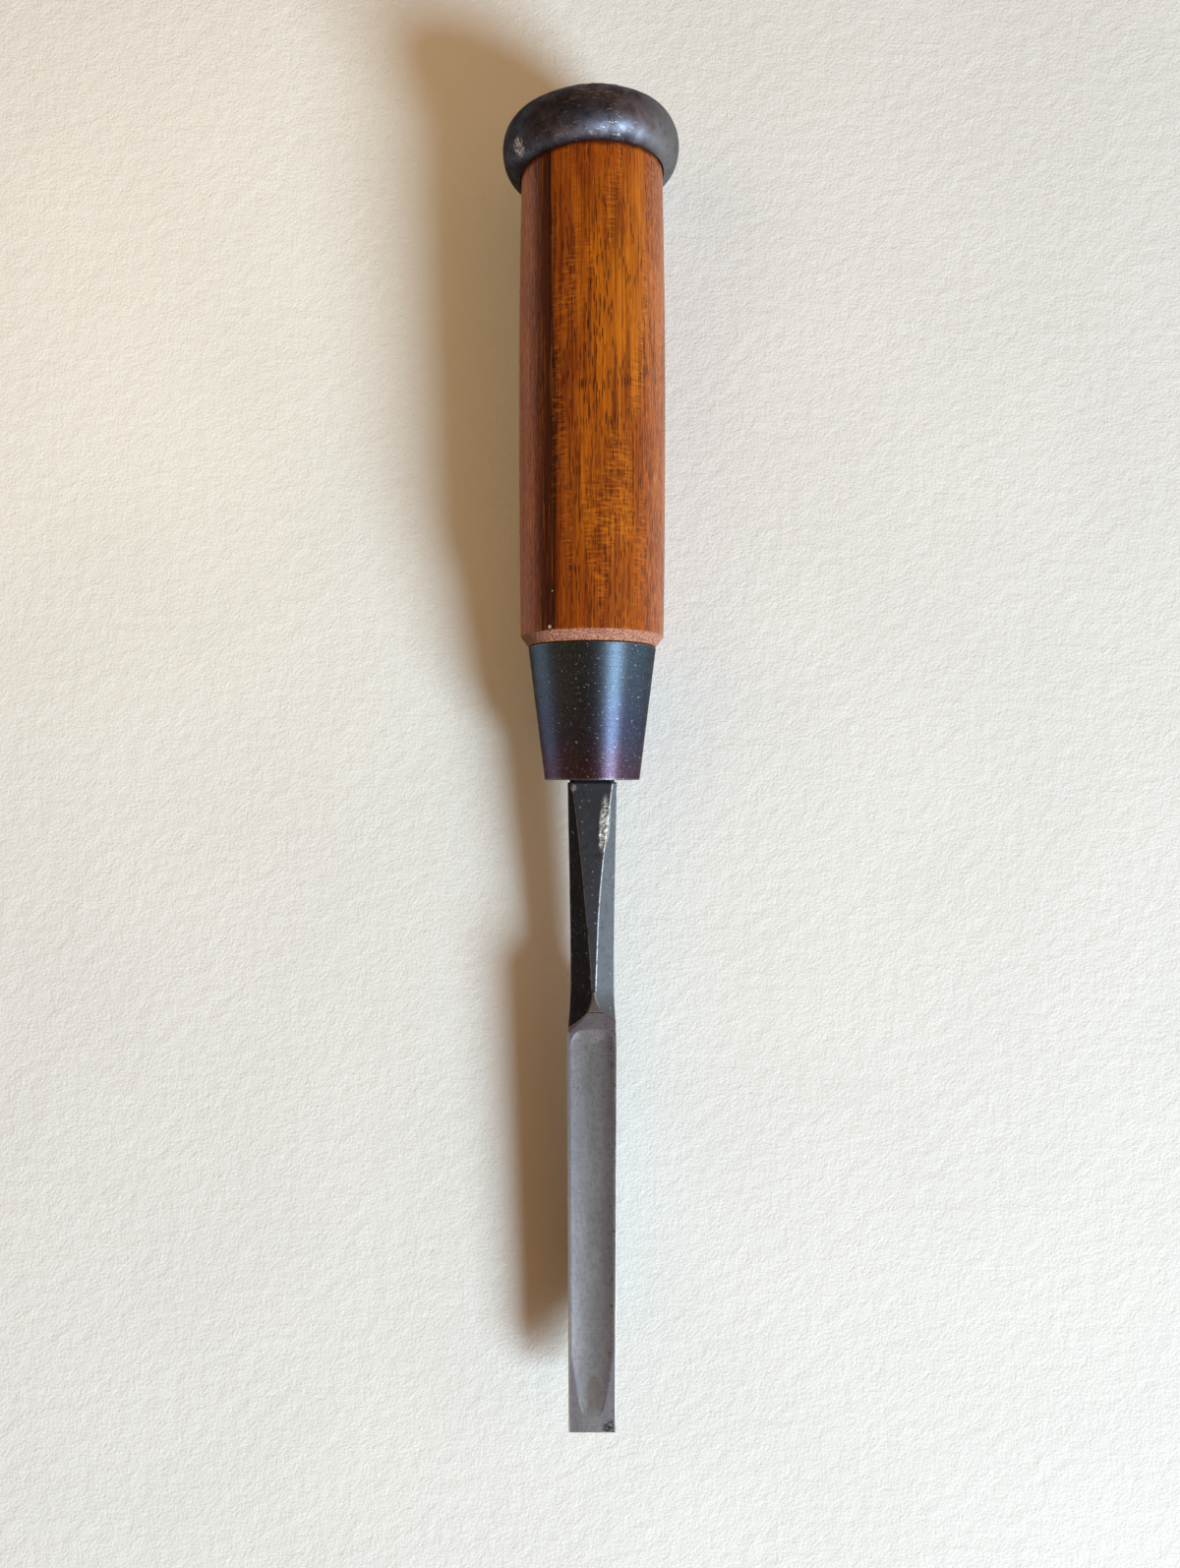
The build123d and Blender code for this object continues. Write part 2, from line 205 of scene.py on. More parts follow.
def circle_through(a, b, c):
    """x of the circle through three (y, x) points, as a function of y."""
    (ay, ax), (by, bx), (cy, cx) = a, b, c
    d = 2 * (ay * (bx - cx) + by * (cx - ax) + cy * (ax - bx))
    a2, b2, c2 = ay * ay + ax * ax, by * by + bx * bx, cy * cy + cx * cx
    uy = (a2 * (bx - cx) + b2 * (cx - ax) + c2 * (ax - bx)) / d
    ux = (a2 * (cy - by) + b2 * (ay - cy) + c2 * (by - ay)) / d
    radius = sqrt((ay - uy) ** 2 + (ax - ux) ** 2)
    side = -1.0 if bx < ux else 1.0
    return lambda y: ux + side * np.sqrt(np.maximum(radius ** 2 - (y - uy) ** 2, 0))


def hermite(y, y0, x0, slope0, y1, x1, slope1):
    """Cubic from (y0, x0) to (y1, x1) with the given slopes."""
    span = y1 - y0
    t = np.clip((y - y0) / span, 0, 1)
    return (
        x0 * (1 + 2 * t) * (1 - t) ** 2 + x1 * t * t * (3 - 2 * t)
        + span * (slope0 * t * (1 - t) ** 2 - slope1 * t * t * (1 - t))
    )


def smooth_step(low, high, value):
    """0 at low, 1 at high, level at both."""
    t = np.clip((value - low) / (high - low), 0, 1)
    return t * t * (3 - 2 * t)


# ------------------------------------------------------------------ meshes
def skin(name, rings, body_node, closed=False, colours=None):
    """Mesh piece over (count, around, 3) rings of tool-frame points, in mm.

    closed joins the last ring to the first; otherwise both ends are capped.
    The points are kept in the attribute "tool", so materials work in millimetres along
    and across the tool. colours maps further attributes to (count, around) values.
    """
    count, around, _ = rings.shape
    index = np.arange(count * around).reshape(count, around)
    lower = index if closed else index[:-1]
    upper = np.roll(index, -1, axis=0) if closed else index[1:]
    quads = np.stack(
        [lower, np.roll(lower, -1, axis=1), np.roll(upper, -1, axis=1), upper], axis=-1
    ).reshape(-1, 4)
    faces = quads.tolist()
    if not closed:
        faces.append(index[0][::-1].tolist())
        faces.append(index[-1].tolist())
    mesh = bpy.data.meshes.new(name)
    points = rings.reshape(-1, 3)
    placed = points * MM @ np.array(tool_matrix.to_3x3()).T + np.array(tool_origin)
    mesh.from_pydata(placed.tolist(), [], faces)
    mesh.update()
    mesh.shade_smooth()
    tool = mesh.attributes.new("tool", "FLOAT_VECTOR", "POINT")
    tool.data.foreach_set("vector", points.astype(np.float32).ravel())
    for key, values in (colours or {}).items():
        attribute = mesh.attributes.new(key, "FLOAT", "POINT")
        attribute.data.foreach_set("value", values.astype(np.float32).ravel())
    piece = bpy.data.objects.new(name, mesh)
    scene.collection.objects.link(piece)
    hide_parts(body_node)
    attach(piece, "root")
    return piece


def grid_normals(rings, closed=False):
    """Unit normals of a ring grid, pointing out of the piece."""
    along = np.gradient(rings, axis=0)
    if closed:
        along = (np.roll(rings, -1, axis=0) - np.roll(rings, 1, axis=0)) / 2
    around = (np.roll(rings, -1, axis=1) - np.roll(rings, 1, axis=1)) / 2
    normal = np.cross(around, along)
    return normal / np.maximum(np.linalg.norm(normal, axis=-1, keepdims=True), 1e-9)


CORNER_POINTS = 7
CORNER_REACH = 0.45         # share of a side that one rounding may use up


def rounded_profile(corners, step, closed=False):
    """Dense (r, y) points along a polyline whose corners are (r, y, rounding)."""
    points = []
    number = len(corners)
    for i in range(number):
        here = np.array(corners[i][:2], float)
        radius = corners[i][2]
        if not closed and i in (0, number - 1) or radius <= 0:
            points.append([here])
            continue
        before = np.array(corners[i - 1][:2], float)
        after = np.array(corners[(i + 1) % number][:2], float)
        to_before = np.linalg.norm(before - here)
        to_after = np.linalg.norm(after - here)
        u = (before - here) / to_before
        v = (after - here) / to_after
        half = np.arccos(np.clip(u @ v, -1, 1)) / 2
        cut = min(radius / np.tan(half), CORNER_REACH * to_before, CORNER_REACH * to_after)
        t = np.linspace(0, 1, CORNER_POINTS)[:, None]
        start, end = here + u * cut, here + v * cut
        points.append(list((1 - t) ** 2 * start + 2 * t * (1 - t) * here + t * t * end))
    flat = [p for group in points for p in group]
    if closed:
        flat.append(flat[0])
    dense = []
    for a, b in zip(flat[:-1], flat[1:]):
        pieces = max(1, int(np.ceil(np.linalg.norm(b - a) / step)))
        dense += [a + (b - a) * k / pieces for k in range(pieces)]
    if not closed:
        dense.append(flat[-1])
    return np.array(dense)


def lathe(profile, around):
    """Rings of a solid of revolution about the tool's axis, from (r, y) points."""
    angle = np.arange(around) * 2 * pi / around
    r, y = profile[:, 0:1], profile[:, 1:2]
    return np.stack([r * np.cos(angle), y + 0 * angle, -r * np.sin(angle)], axis=-1)


def polar_ring(angle, y, radius):
    """Ring at y, the angle turning from +X towards +Z."""
    return np.stack([radius * np.cos(angle), np.full(len(angle), y), radius * np.sin(angle)], axis=-1)


def square_ring(angle, y, side):
    """The same on the outline of a square."""
    reach = np.maximum(np.abs(np.cos(angle)), np.abs(np.sin(angle)))
    return polar_ring(angle, y, side / 2 / reach)


def lean(rings):
    """Turn rings built along Y from 0 into the hoop's own, leaning place."""
    x, y = rings[..., 0], rings[..., 1]
    turned = rings.copy()
    turned[..., 0] = x * cos(HOOP_LEAN) - y * sin(HOOP_LEAN)
    turned[..., 1] = HOOP_LOW_Y + x * sin(HOOP_LEAN) + y * cos(HOOP_LEAN)
    return turned


# ------------------------------------------------------------------ shape of the iron
flat_edge = circle_through((0, FLAT_HALF[0]), (RIDGE_Y / 2, FLAT_HALF[1]), (RIDGE_Y, FLAT_HALF[2]))


def run_out(y, radius):
    """How far an edge has swept outwards past the ridge's end: an arc, then a straight line."""
    past = np.maximum(RIDGE_Y - y, 0)
    turn_at = radius * sin(RUN_OUT_TURN)
    arc = radius - np.sqrt(np.maximum(radius ** 2 - np.minimum(past, turn_at) ** 2, 0))
    line = np.maximum(past - turn_at, 0) * tan(RUN_OUT_TURN)
    return arc + line


def facet_half(y, side):
    """Distance of a facet's edge from the middle, on the level of the back."""
    drift = side * RIDGE_DRIFT * smooth_step(RIDGE_Y / 2, RIDGE_Y, y)
    neck = flat_edge(np.clip(y, RIDGE_Y, 0)) + drift
    return neck + run_out(y, RUN_OUT_RADIUS[side])


def front_half(y):
    """The same for the chamfers of the neck's front corners, on the waist's level."""
    return WAIST_WIDTH / 2 - FRONT_CHAMFER + run_out(y, FRONT_RUN_OUT)


BLADE_TAPER = (ROOT_WIDTH - EDGE_WIDTH) / 2 / BLADE_LENGTH
NECK_SLOPE = 0.006          # of the sides at the ferrule
WAIST_SLOPE = 0.012         # of the sides and the underside at the waist


def blade_half(y):
    return EDGE_WIDTH / 2 + (y - EDGE_Y) * BLADE_TAPER


def half_width(y):
    """Half of the width across, of the blade and of the neck."""
    waist = (WAIST_Y, WAIST_WIDTH / 2, -WAIST_SLOPE)
    upper = hermite(y, 0, NECK_WIDTH / 2, NECK_SLOPE, *waist)
    lower = hermite(y, *waist, ROOT_Y, ROOT_WIDTH / 2, -BLADE_TAPER)
    neck = np.where(y > WAIST_Y, upper, lower)
    return np.where(y < ROOT_Y, blade_half(y), neck)


def bottom_z(y):
    """Lowest level of the section: front face, bevel, or the neck's underside."""
    bevel = BACK_Z - (y - EDGE_Y) * tan(BEVEL_ANGLE)
    waist = (WAIST_Y, -WAIST_DOWN, WAIST_SLOPE)
    upper = hermite(y, 0, -NECK_DOWN, 0, *waist)
    lower = hermite(y, *waist, ROOT_Y, FRONT_Z, 0)
    neck = np.where(y > WAIST_Y, upper, lower)
    return np.where(y < ROOT_Y, np.maximum(FRONT_Z, bevel), neck)


def top_z(y):
    """Highest level: the ground back, or the neck's flat a little below its line."""
    ridge_z = BACK_Z - RIDGE_STEP
    neck = NECK_UP + (ridge_z - NECK_UP) * y / RIDGE_Y
    return np.where(y < RIDGE_Y, BACK_Z, neck)


def weld_z(y):
    """Level of the weld between iron and steel."""
    slant = (y - SCARF_Y) / SCARF_LENGTH
    return WELD_Z + STEEL_THICKNESS * np.maximum(slant, 0)


FACET_SLOPE = sqrt(0.5)     # the facets fall away at 45 degrees
AROUND_IRON = 256           # points in each ring
CRISPNESS = 90              # power of the mean: higher is sharper


def section(y, low, high):
    """Ring of the forged section at y, between two levels, with softened corners.

    The corners of the polygon are softened by a power mean of its sides, which stays
    inside the true section.
    """
    width = half_width(y)
    centre = (low + high) / 2
    height = (high - low) / 2
    angle = np.arange(AROUND_IRON) * 2 * pi / AROUND_IRON
    ux = width * np.cos(angle)
    uz = -height * np.sin(angle)
    sides = [(1, 0, width), (-1, 0, width), (0, 1, height), (0, -1, height)]
    for side in (-1, 1):
        facet = FACET_SLOPE * (facet_half(y, side) + BACK_Z - centre)
        sides.append((side * FACET_SLOPE, FACET_SLOPE, facet))
        front = FACET_SLOPE * (front_half(y) + WAIST_DOWN + centre)
        sides.append((side * FACET_SLOPE, -FACET_SLOPE, front))
    total = np.zeros(AROUND_IRON)
    for nx, nz, reach in sides:
        total += np.maximum((nx * ux + nz * uz) / max(reach, 1e-6), 0) ** CRISPNESS
    scale = total ** (-1 / CRISPNESS)
    return np.stack([ux * scale, np.full(AROUND_IRON, y), centre + uz * scale], axis=-1)


def facet_wear(rings, reach):
    """1 on the edges between the neck's faces, 0 away from them."""
    x, y, z = rings[..., 0], rings[..., 1], rings[..., 2]
    slacks = [half_width(y) - x, half_width(y) + x, top_z(y) - z, z - bottom_z(y)]
    for side in (-1, 1):
        slacks.append(FACET_SLOPE * (facet_half(y, side) + BACK_Z - side * x - z))
        slacks.append(FACET_SLOPE * (front_half(y) + WAIST_DOWN - side * x + z))
    second = np.sort(np.stack(slacks), axis=0)[1]
    return np.clip(1 - second / reach, 0, 1)


def hollow(x, y):
    """Depth of the hollow of the back, in mm: tapered at the tip, arched at the neck."""
    tip = np.clip((HOLLOW_TIP_Y + HOLLOW_TIP_LENGTH - y) / HOLLOW_TIP_LENGTH, 0, 1)
    arch = np.clip((y - (HOLLOW_ARCH_Y - HOLLOW_ARCH_LENGTH)) / HOLLOW_ARCH_LENGTH, 0, 1)
    narrowing = 1 - HOLLOW_TIP_FALL * tip
    half = (blade_half(y) - HOLLOW_LAND) * narrowing
    across = (x / half) ** 2
    outline = 1.15 * (1 - across ** 2 - arch ** 3 - tip ** 7)
    shape = np.minimum(1 - across, outline)
    return HOLLOW_DEPTH * narrowing ** 2 * np.maximum(shape, 0)


# ------------------------------------------------------------------ pieces
HAMMERED = 0.035            # depths of the forged unevenness, coarse and fine
FILED = 0.02
SCAR_X = 2.35               # a dent left by the hammer on the right edge of the flat
SCAR_Y = -8.6
SCAR_WIDTH = 1.0
SCAR_LENGTH = 5.0
SCAR_DEPTH = 0.10
SCAR_DRIFT = 0.35
IRON_WEAR = 0.22            # widths of the bright worn edges
STEEL_WEAR = 0.3
BOLSTER_FIT = 0.03          # between the bolster and the ferrule's bore


def spaced(start, end, step):
    return list(np.linspace(start, end, max(2, int(round(abs(end - start) / step)) + 1)))


def stations(*stretches):
    """Places along Y from (start, end, step) stretches, closer where the shape turns."""
    return [y for stretch in stretches for y in spaced(*stretch)]


def ferrule_radius(y):
    return MOUTH_RADIUS + (FERRULE_TOP_RADIUS - MOUTH_RADIUS) * y / FERRULE_LENGTH


def ferrule_bore(y):
    return ferrule_radius(y) - FERRULE_WALL


def shrunk(ring, y, amount):
    """The neck's last ring, moved to y and drawn in by an amount all round."""
    drawn = ring.copy()
    drawn[:, 0] *= 1 - amount / (NECK_WIDTH / 2)
    drawn[:, 1] = y
    drawn[:, 2] *= 1 - amount / NECK_UP
    return drawn


def bolster_and_tang(ring):
    """Rings that follow the neck: groove at the ferrule, bolster's disc, square tang."""
    groove = (
        (-GROOVE_LENGTH - 0.04, 0.06), (-GROOVE_LENGTH, 0.16), (-GROOVE_LENGTH, GROOVE_DEPTH),
        (BOLSTER_LOW_Y - 0.05, GROOVE_DEPTH), (BOLSTER_LOW_Y, GROOVE_DEPTH - 0.05),
    )
    rounding = ((0.0, 0.25), (0.04, 0.12), (0.15, BOLSTER_FIT))
    angle = np.arctan2(ring[:, 2], ring[:, 0])
    rings = [shrunk(ring, y, amount) for y, amount in groove]
    low_radius = ferrule_bore(BOLSTER_LOW_Y)
    for past, gap in rounding:
        rings.append(polar_ring(angle, BOLSTER_LOW_Y + past, low_radius - gap))
    rings.append(polar_ring(angle, BOLSTER_HIGH_Y, ferrule_bore(BOLSTER_HIGH_Y) - BOLSTER_FIT))
    rings.append(square_ring(angle, BOLSTER_HIGH_Y, TANG_ROOT))
    rings.append(square_ring(angle, BOLSTER_HIGH_Y + TANG_LENGTH, TANG_TIP))
    return rings


def hammer_scar(rings):
    """How deep in the hammer's ragged dent each point lies, 0 to 1."""
    along = (rings[..., 1] - SCAR_Y) / SCAR_LENGTH
    across = (rings[..., 0] - SCAR_X - SCAR_DRIFT * along) / SCAR_WIDTH
    ragged = 0.35 * noise(rings, 0.9, 8)
    on_top = rings[..., 2] > 2.0
    return np.clip(1.25 - across ** 2 - along ** 2 + ragged, 0, 1) * on_top


def make_iron_body():
    tip_y = EDGE_Y + STEEL_THICKNESS / tan(BEVEL_ANGLE) + 0.02
    rings = []
    for y in stations(
        (tip_y, HEEL_Y - 0.3, 0.4), (HEEL_Y - 0.2, HEEL_Y + 0.2, 0.1), (HEEL_Y + 0.3, SCARF_Y, 0.5),
        (SCARF_Y + 0.2, RIDGE_Y - 0.06, 0.2), (RIDGE_Y + 0.06, -GROOVE_LENGTH - 0.12, 0.25),
    ):
        high = min(float(weld_z(y)), float(top_z(y)))
        rings.append(section(y, float(bottom_z(y)), high))
    wear = list(facet_wear(np.array(rings), IRON_WEAR))
    hidden = bolster_and_tang(rings[-1])
    wear += [np.zeros(AROUND_IRON)] * len(hidden)
    rings = np.array(rings + hidden)
    # hammered and filed unevenness, always inwards, and none on the ground faces
    normals = grid_normals(rings)
    y, z = rings[..., 1], rings[..., 2]
    forged = smooth_step(ROOT_Y - 2, ROOT_Y + 6, y) * (1 - smooth_step(-2.0, -0.8, y))
    rough = HAMMERED * (1 + noise(rings, (2.2, 4.5, 2.2), 3)) / 2
    rough = rough + FILED * (1 + noise(rings, 0.7, 5)) / 2
    scar = hammer_scar(rings)
    pitted = scar * SCAR_DEPTH * (1 + noise(rings, 0.45, 9))
    rings = rings - normals * (forged * rough + np.maximum(pitted, 0))[..., None]
    ground = smooth_step(0.12, 0.03, BACK_Z - z) * (y < RIDGE_Y)
    # the normals' share across sets where the iron material paints shade and light, by the side a face
    # turns to
    return skin(
        "iron_body_forged", rings, "iron_body",
        colours={"edge": np.array(wear), "lit_side": normals[..., 0], "scar": scar, "ground": ground},
    )


def make_cutting_steel():
    rings = []
    for y in stations(
        (EDGE_Y + 0.03, EDGE_Y + 0.3, 0.09), (EDGE_Y + 0.45, HOLLOW_TIP_Y + 2, 0.2),
        (HOLLOW_TIP_Y + 2.3, HOLLOW_ARCH_Y - 8, 0.4), (HOLLOW_ARCH_Y - 7.8, STEEL_END_Y - 0.05, 0.15),
    ):
        low = max(float(bottom_z(y)), float(weld_z(y)))
        rings.append(section(y, low, BACK_Z))
    rings = np.array(rings)
    x, y, z = rings[..., 0], rings[..., 1], rings[..., 2]
    top = smooth_step(0.25, 0.05, BACK_Z - z)
    edge = np.clip(1 - (half_width(y) - np.abs(x)) / STEEL_WEAR, 0, 1) * top
    rings[..., 2] -= hollow(x, y) * top
    return skin("cutting_steel_ground", rings, "cutting_steel", colours={"edge": edge})


def make_ferrule():
    mouth, top = ferrule_radius(0), ferrule_radius(FERRULE_LENGTH)
    corners = [
        (mouth, 0, 0.28), (top, FERRULE_LENGTH, 0.25),
        (top - FERRULE_WALL, FERRULE_LENGTH, 0.1), (mouth - FERRULE_WALL, 0, 0.15),
    ]
    rings = lathe(rounded_profile(corners, 0.35, closed=True), 288)
    normals = grid_normals(rings, closed=True)
    rings = rings - normals * (0.015 * (1 + noise(rings, (6, 9, 6), 11)))[..., None]
    return skin("ferrule_blued", rings, "ferrule", closed=True)


AROUND_HANDLE = 320


def make_hoop():
    angle = np.linspace(-pi / 2, pi / 2, 61)
    half = HOOP_HEIGHT / 2
    bulge = HOOP_LIP + (HOOP_OUTER - HOOP_LIP) * np.cos(angle)
    outside = np.stack([bulge, half + half * np.sin(angle)], axis=-1)
    inside = rounded_profile([
        (HOOP_LIP, HOOP_HEIGHT, 0), (HOOP_BORE + HOOP_BORE_EDGE, HOOP_HEIGHT, 0.15),
        (HOOP_BORE, HOOP_HEIGHT - HOOP_BORE_EDGE, 0.2), (HOOP_BORE, HOOP_LIP_DEPTH, 0.3), (HOOP_LIP, 0, 0),
    ], 0.35)
    rings = lathe(np.concatenate([outside, inside[1:-1]]), AROUND_HANDLE)
    normals = grid_normals(rings, closed=True)
    forged = 0.06 * (1 + noise(rings, 6.5, 21)) + 0.018 * (1 + noise(rings, 1.6, 22))
    rings = rings - normals * forged[..., None]
    return skin("hoop_forged", lean(rings), "hoop", closed=True)


def make_handle():
    middle_y = (SHOULDER_HIGH_Y + HOOP_LOW_Y) / 2
    grip = circle_through(
        (SHOULDER_HIGH_Y, HANDLE_LOW_RADIUS), (middle_y, HANDLE_MIDDLE_RADIUS),
        (HOOP_LOW_Y, HANDLE_TOP_RADIUS),
    )
    cone_top = ferrule_bore(FERRULE_LENGTH)
    grip_start_y = SHOULDER_HIGH_Y + 2
    cone = rounded_profile([
        (ferrule_bore(BOLSTER_HIGH_Y), BOLSTER_HIGH_Y, 0), (cone_top, FERRULE_LENGTH, 0),
        (cone_top, SHOULDER_LOW_Y, 0.05), (FERRULE_TOP_RADIUS, SHOULDER_LOW_Y, 0.12),
        (HANDLE_LOW_RADIUS, SHOULDER_HIGH_Y, 0.22), (float(grip(grip_start_y)), grip_start_y, 0),
    ], 0.3)
    grip_y = np.array(spaced(grip_start_y + 0.35, HOOP_LOW_Y, 0.35))
    side = np.stack([grip(grip_y), grip_y], axis=-1)
    wood_end = HOOP_HEIGHT + WOOD_PROUD
    end = rounded_profile([
        (HANDLE_TOP_RADIUS - 0.02, 0.25, 0), (HOOP_BORE, 0.9, 0.3), (HOOP_BORE, wood_end, WOOD_ROUND),
        (0.25, wood_end, 0),
    ], 0.3)
    # the tang's hole, from its bottom to the end of the cone
    angle = -np.arange(AROUND_HANDLE) * 2 * pi / AROUND_HANDLE
    depth = TANG_LENGTH + TANG_ROOM
    bottom = TANG_ROOT - (TANG_ROOT - TANG_TIP) / TANG_LENGTH * depth
    hole = np.array([
        square_ring(angle, BOLSTER_HIGH_Y + depth, bottom + 2 * TANG_CLEARANCE),
        square_ring(angle, BOLSTER_HIGH_Y, TANG_ROOT + 2 * TANG_CLEARANCE),
    ])
    turned = [lathe(cone, AROUND_HANDLE), lathe(side, AROUND_HANDLE), lean(lathe(end, AROUND_HANDLE))]
    rings = np.concatenate([hole, *turned])
    normals = grid_normals(rings)
    y = rings[..., 1]
    bare = smooth_step(SHOULDER_LOW_Y - 0.1, SHOULDER_LOW_Y + 0.1, y)
    bare = bare * (1 - smooth_step(SHOULDER_HIGH_Y - 0.1, SHOULDER_HIGH_Y + 0.15, y))
    struck = smooth_step(HOOP_LOW_Y + HOOP_HEIGHT - 0.2, HOOP_LOW_Y + HOOP_HEIGHT + 0.2, y)
    grain = bare * 0.05 * (1 + noise(rings, 0.35, 31))
    grain = grain + struck * 0.09 * (1 + noise(rings, (0.9, 3, 0.9), 32))
    hand = 0.02 * (1 + noise(rings, (7, 18, 7), 33)) * (y > SHOULDER_HIGH_Y)
    rings = rings - normals * (grain + hand)[..., None]
    # the dark, glossy ring where the varnish has pooled against the hoop, with painted shade in the gap
    # beside it
    to_hoop = (y - HOOP_LOW_Y) * cos(HOOP_LEAN) - rings[..., 0] * sin(HOOP_LEAN)
    pooled_varnish_shade = smooth_step(-0.9, -0.3, to_hoop + 0.35 * noise(rings, 0.8, 35)) * (to_hoop < 1.0)
    return skin(
        "handle_turned", rings, "handle",
        colours={"bare": bare, "struck": struck, "pooled_varnish_shade": pooled_varnish_shade},
    )


pieces = {
    "iron": make_iron_body(),
    "steel": make_cutting_steel(),
    "ferrule": make_ferrule(),
    "hoop": make_hoop(),
    "handle": make_handle(),
}


# ------------------------------------------------------------------ materials
# Places in mm. A pair is a ramp, from where a feature is absent to where it is full.
HEART = (22, 0, 12)             # offset of the tree's heart from the handle's axis
LIT_GOLDEN_LEFT_X = (0.5, 5.0)
LIT_GOLDEN_RIGHT_X = (12.0, 8.0)
REDDER_SHADED_X = (1.0, -6.0)
REDDER_TOP_Y = (108, 118)
REDDER_LOW_Y = (48, 30)
SHADE_BAND_LEFT_X = (-12.5, -9.5)
SHADE_BAND_RIGHT_X = (-6.6, -7.8)
EDGE_LINE_X = -7.6
PORES_LOW_Y = (84, 60)
SHEEN_FLANK_X = (8.5, 13.0)
SHADED_X = (-7.5, -12.0)
PAINT_SPOTS = (((-7.9, 28.4, 10.5), (0.42, 0.45, 3.0)), ((-7.4, 35.0, 10.5), (0.2, 0.22, 3.0)))

HOOP_SHADE_X = (-2, -15)
HOOP_SHEEN_X = (6, 15)
HOOP_FRONT_X = (11, 4)
HOOP_SCRATCH = (-13.4, 119.2, 8.5)
HOOP_SCRATCH_SIZE = (1.6, 2.2, 2.5)

PURPLE_TO_VIOLET_Y = (4, 14)
VIOLET_TO_BLUE_Y = (14, 26)
WORN_MOUTH_Y = (0.45, 0.1)
WORN_TOP_Y = (25.3, 25.6)

CRATER = (-3.6, -1.5, 4.6)
CRATER_SIZE = (0.7, 0.8, 1.5)
BEVEL_SKIN = (0.16, 0.06)       # distance from the bevel's plane

TIP_Y = (-55, -120)
BESIDE_X = (1.2, 3.2)
NECK_END_Y = (-50.5, -48.0)
RUST_X = (4.1, 4.5)
PITTED_Y = (-74, -54)
PITTED_X = (2.2, 3.6)
WORN_LEFT_X = (1.0, -1.0)
CHIPS = (3.5, -124.2, 0.0)
CHIPS_SIZE = (2.2, 2.2, 12.0)
STAIN_X = 0.3
STAIN_Y = -117.5
STAIN_WIDTH = 1.5
STAIN_LENGTH = 3.4


class Nodes:
    """Small helper that builds a node tree from calls."""

    def __init__(self, tree):
        self.tree = tree
        self.tree.nodes.clear()

    def add(self, kind, **settings):
        node = self.tree.nodes.new(kind)
        for key, value in settings.items():
            setattr(node, key, value)
        return node

    def link(self, source, target):
        self.tree.links.new(source, target)

    def put(self, socket, value):
        if hasattr(value, "is_output"):
            self.link(value, socket)
        else:
            socket.default_value = value

    def place(self, scale=(1, 1, 1), offset=(0, 0, 0)):
        """Tool coordinates in mm, scaled."""
        coords = self.add("ShaderNodeAttribute", attribute_name="tool")
        mapping = self.add("ShaderNodeMapping")
        self.link(coords.outputs["Vector"], mapping.inputs["Vector"])
        mapping.inputs["Scale"].default_value = scale
        mapping.inputs["Location"].default_value = offset
        return mapping.outputs[0]

    def noise(self, vector, scale, detail=2.0, rough=0.5, distortion=0.0):
        node = self.add("ShaderNodeTexNoise")
        self.link(vector, node.inputs["Vector"])
        node.inputs["Scale"].default_value = scale
        node.inputs["Detail"].default_value = detail
        node.inputs["Roughness"].default_value = rough
        node.inputs["Distortion"].default_value = distortion
        return node.outputs["Fac"]

    def voronoi(self, vector, scale):
        node = self.add("ShaderNodeTexVoronoi")
        self.link(vector, node.inputs["Vector"])
        node.inputs["Scale"].default_value = scale
        return node.outputs["Distance"]

    def steps(self, value, low, high, to_low=0.0, to_high=1.0):
        """Smooth ramp of value between two levels."""
        node = self.add("ShaderNodeMapRange", interpolation_type="SMOOTHSTEP")
        self.put(node.inputs["Value"], value)
        node.inputs["From Min"].default_value = low
        node.inputs["From Max"].default_value = high
        node.inputs["To Min"].default_value = to_low
        node.inputs["To Max"].default_value = to_high
        return node.outputs["Result"]

    def math(self, operation, a, b=0.0):
        node = self.add("ShaderNodeMath", operation=operation)
        for socket, value in zip(node.inputs, (a, b)):
            self.put(socket, value)
        return node.outputs[0]

    def times(self, a, b):
        return self.math("MULTIPLY", a, b)

    def either(self, a, b):
        return self.math("MAXIMUM", a, b)

    def inverse(self, a):
        return self.math("SUBTRACT", 1.0, a)

    def mix(self, factor, a, b):
        node = self.add("ShaderNodeMix", data_type="RGBA")
        self.put(node.inputs["Factor"], factor)
        for socket, value in ((node.inputs[6], a), (node.inputs[7], b)):
            if isinstance(value, tuple):
                value = (*value, 1.0)
            self.put(socket, value)
        return node.outputs[2]

    def tint(self, base, mask, shade, amount=None):
        """base, coloured with an sRGB shade where mask is 1, by an amount up to 1."""
        factor = mask if amount is None else self.times(mask, amount)
        return self.mix(factor, base, colour(*shade))

    def attribute(self, name):
        return self.add("ShaderNodeAttribute", attribute_name=name).outputs["Fac"]

    def blob(self, centre, size):
        """1 at a point, falling to 0 at an ellipsoid of the given half sizes, in mm."""
        total = 0.0
        for index in range(3):
            offset = self.math("SUBTRACT", self.axis(index), centre[index])
            away = self.math("DIVIDE", offset, size[index])
            total = self.math("ADD", total, self.times(away, away))
        return self.steps(total, 1.0, 0.2)

    def bump(self, height, strength, distance, normal=None):
        """Normal of a surface with the height on it, over a distance in mm."""
        node = self.add("ShaderNodeBump")
        self.link(height, node.inputs["Height"])
        node.inputs["Strength"].default_value = strength
        node.inputs["Distance"].default_value = distance * MM
        if normal is not None:
            self.link(normal, node.inputs["Normal"])
        return node.outputs[0]

    def axis(self, index):
        """One tool coordinate, in mm."""
        split = self.add("ShaderNodeSeparateXYZ")
        self.link(self.place(), split.inputs[0])
        return split.outputs[index]


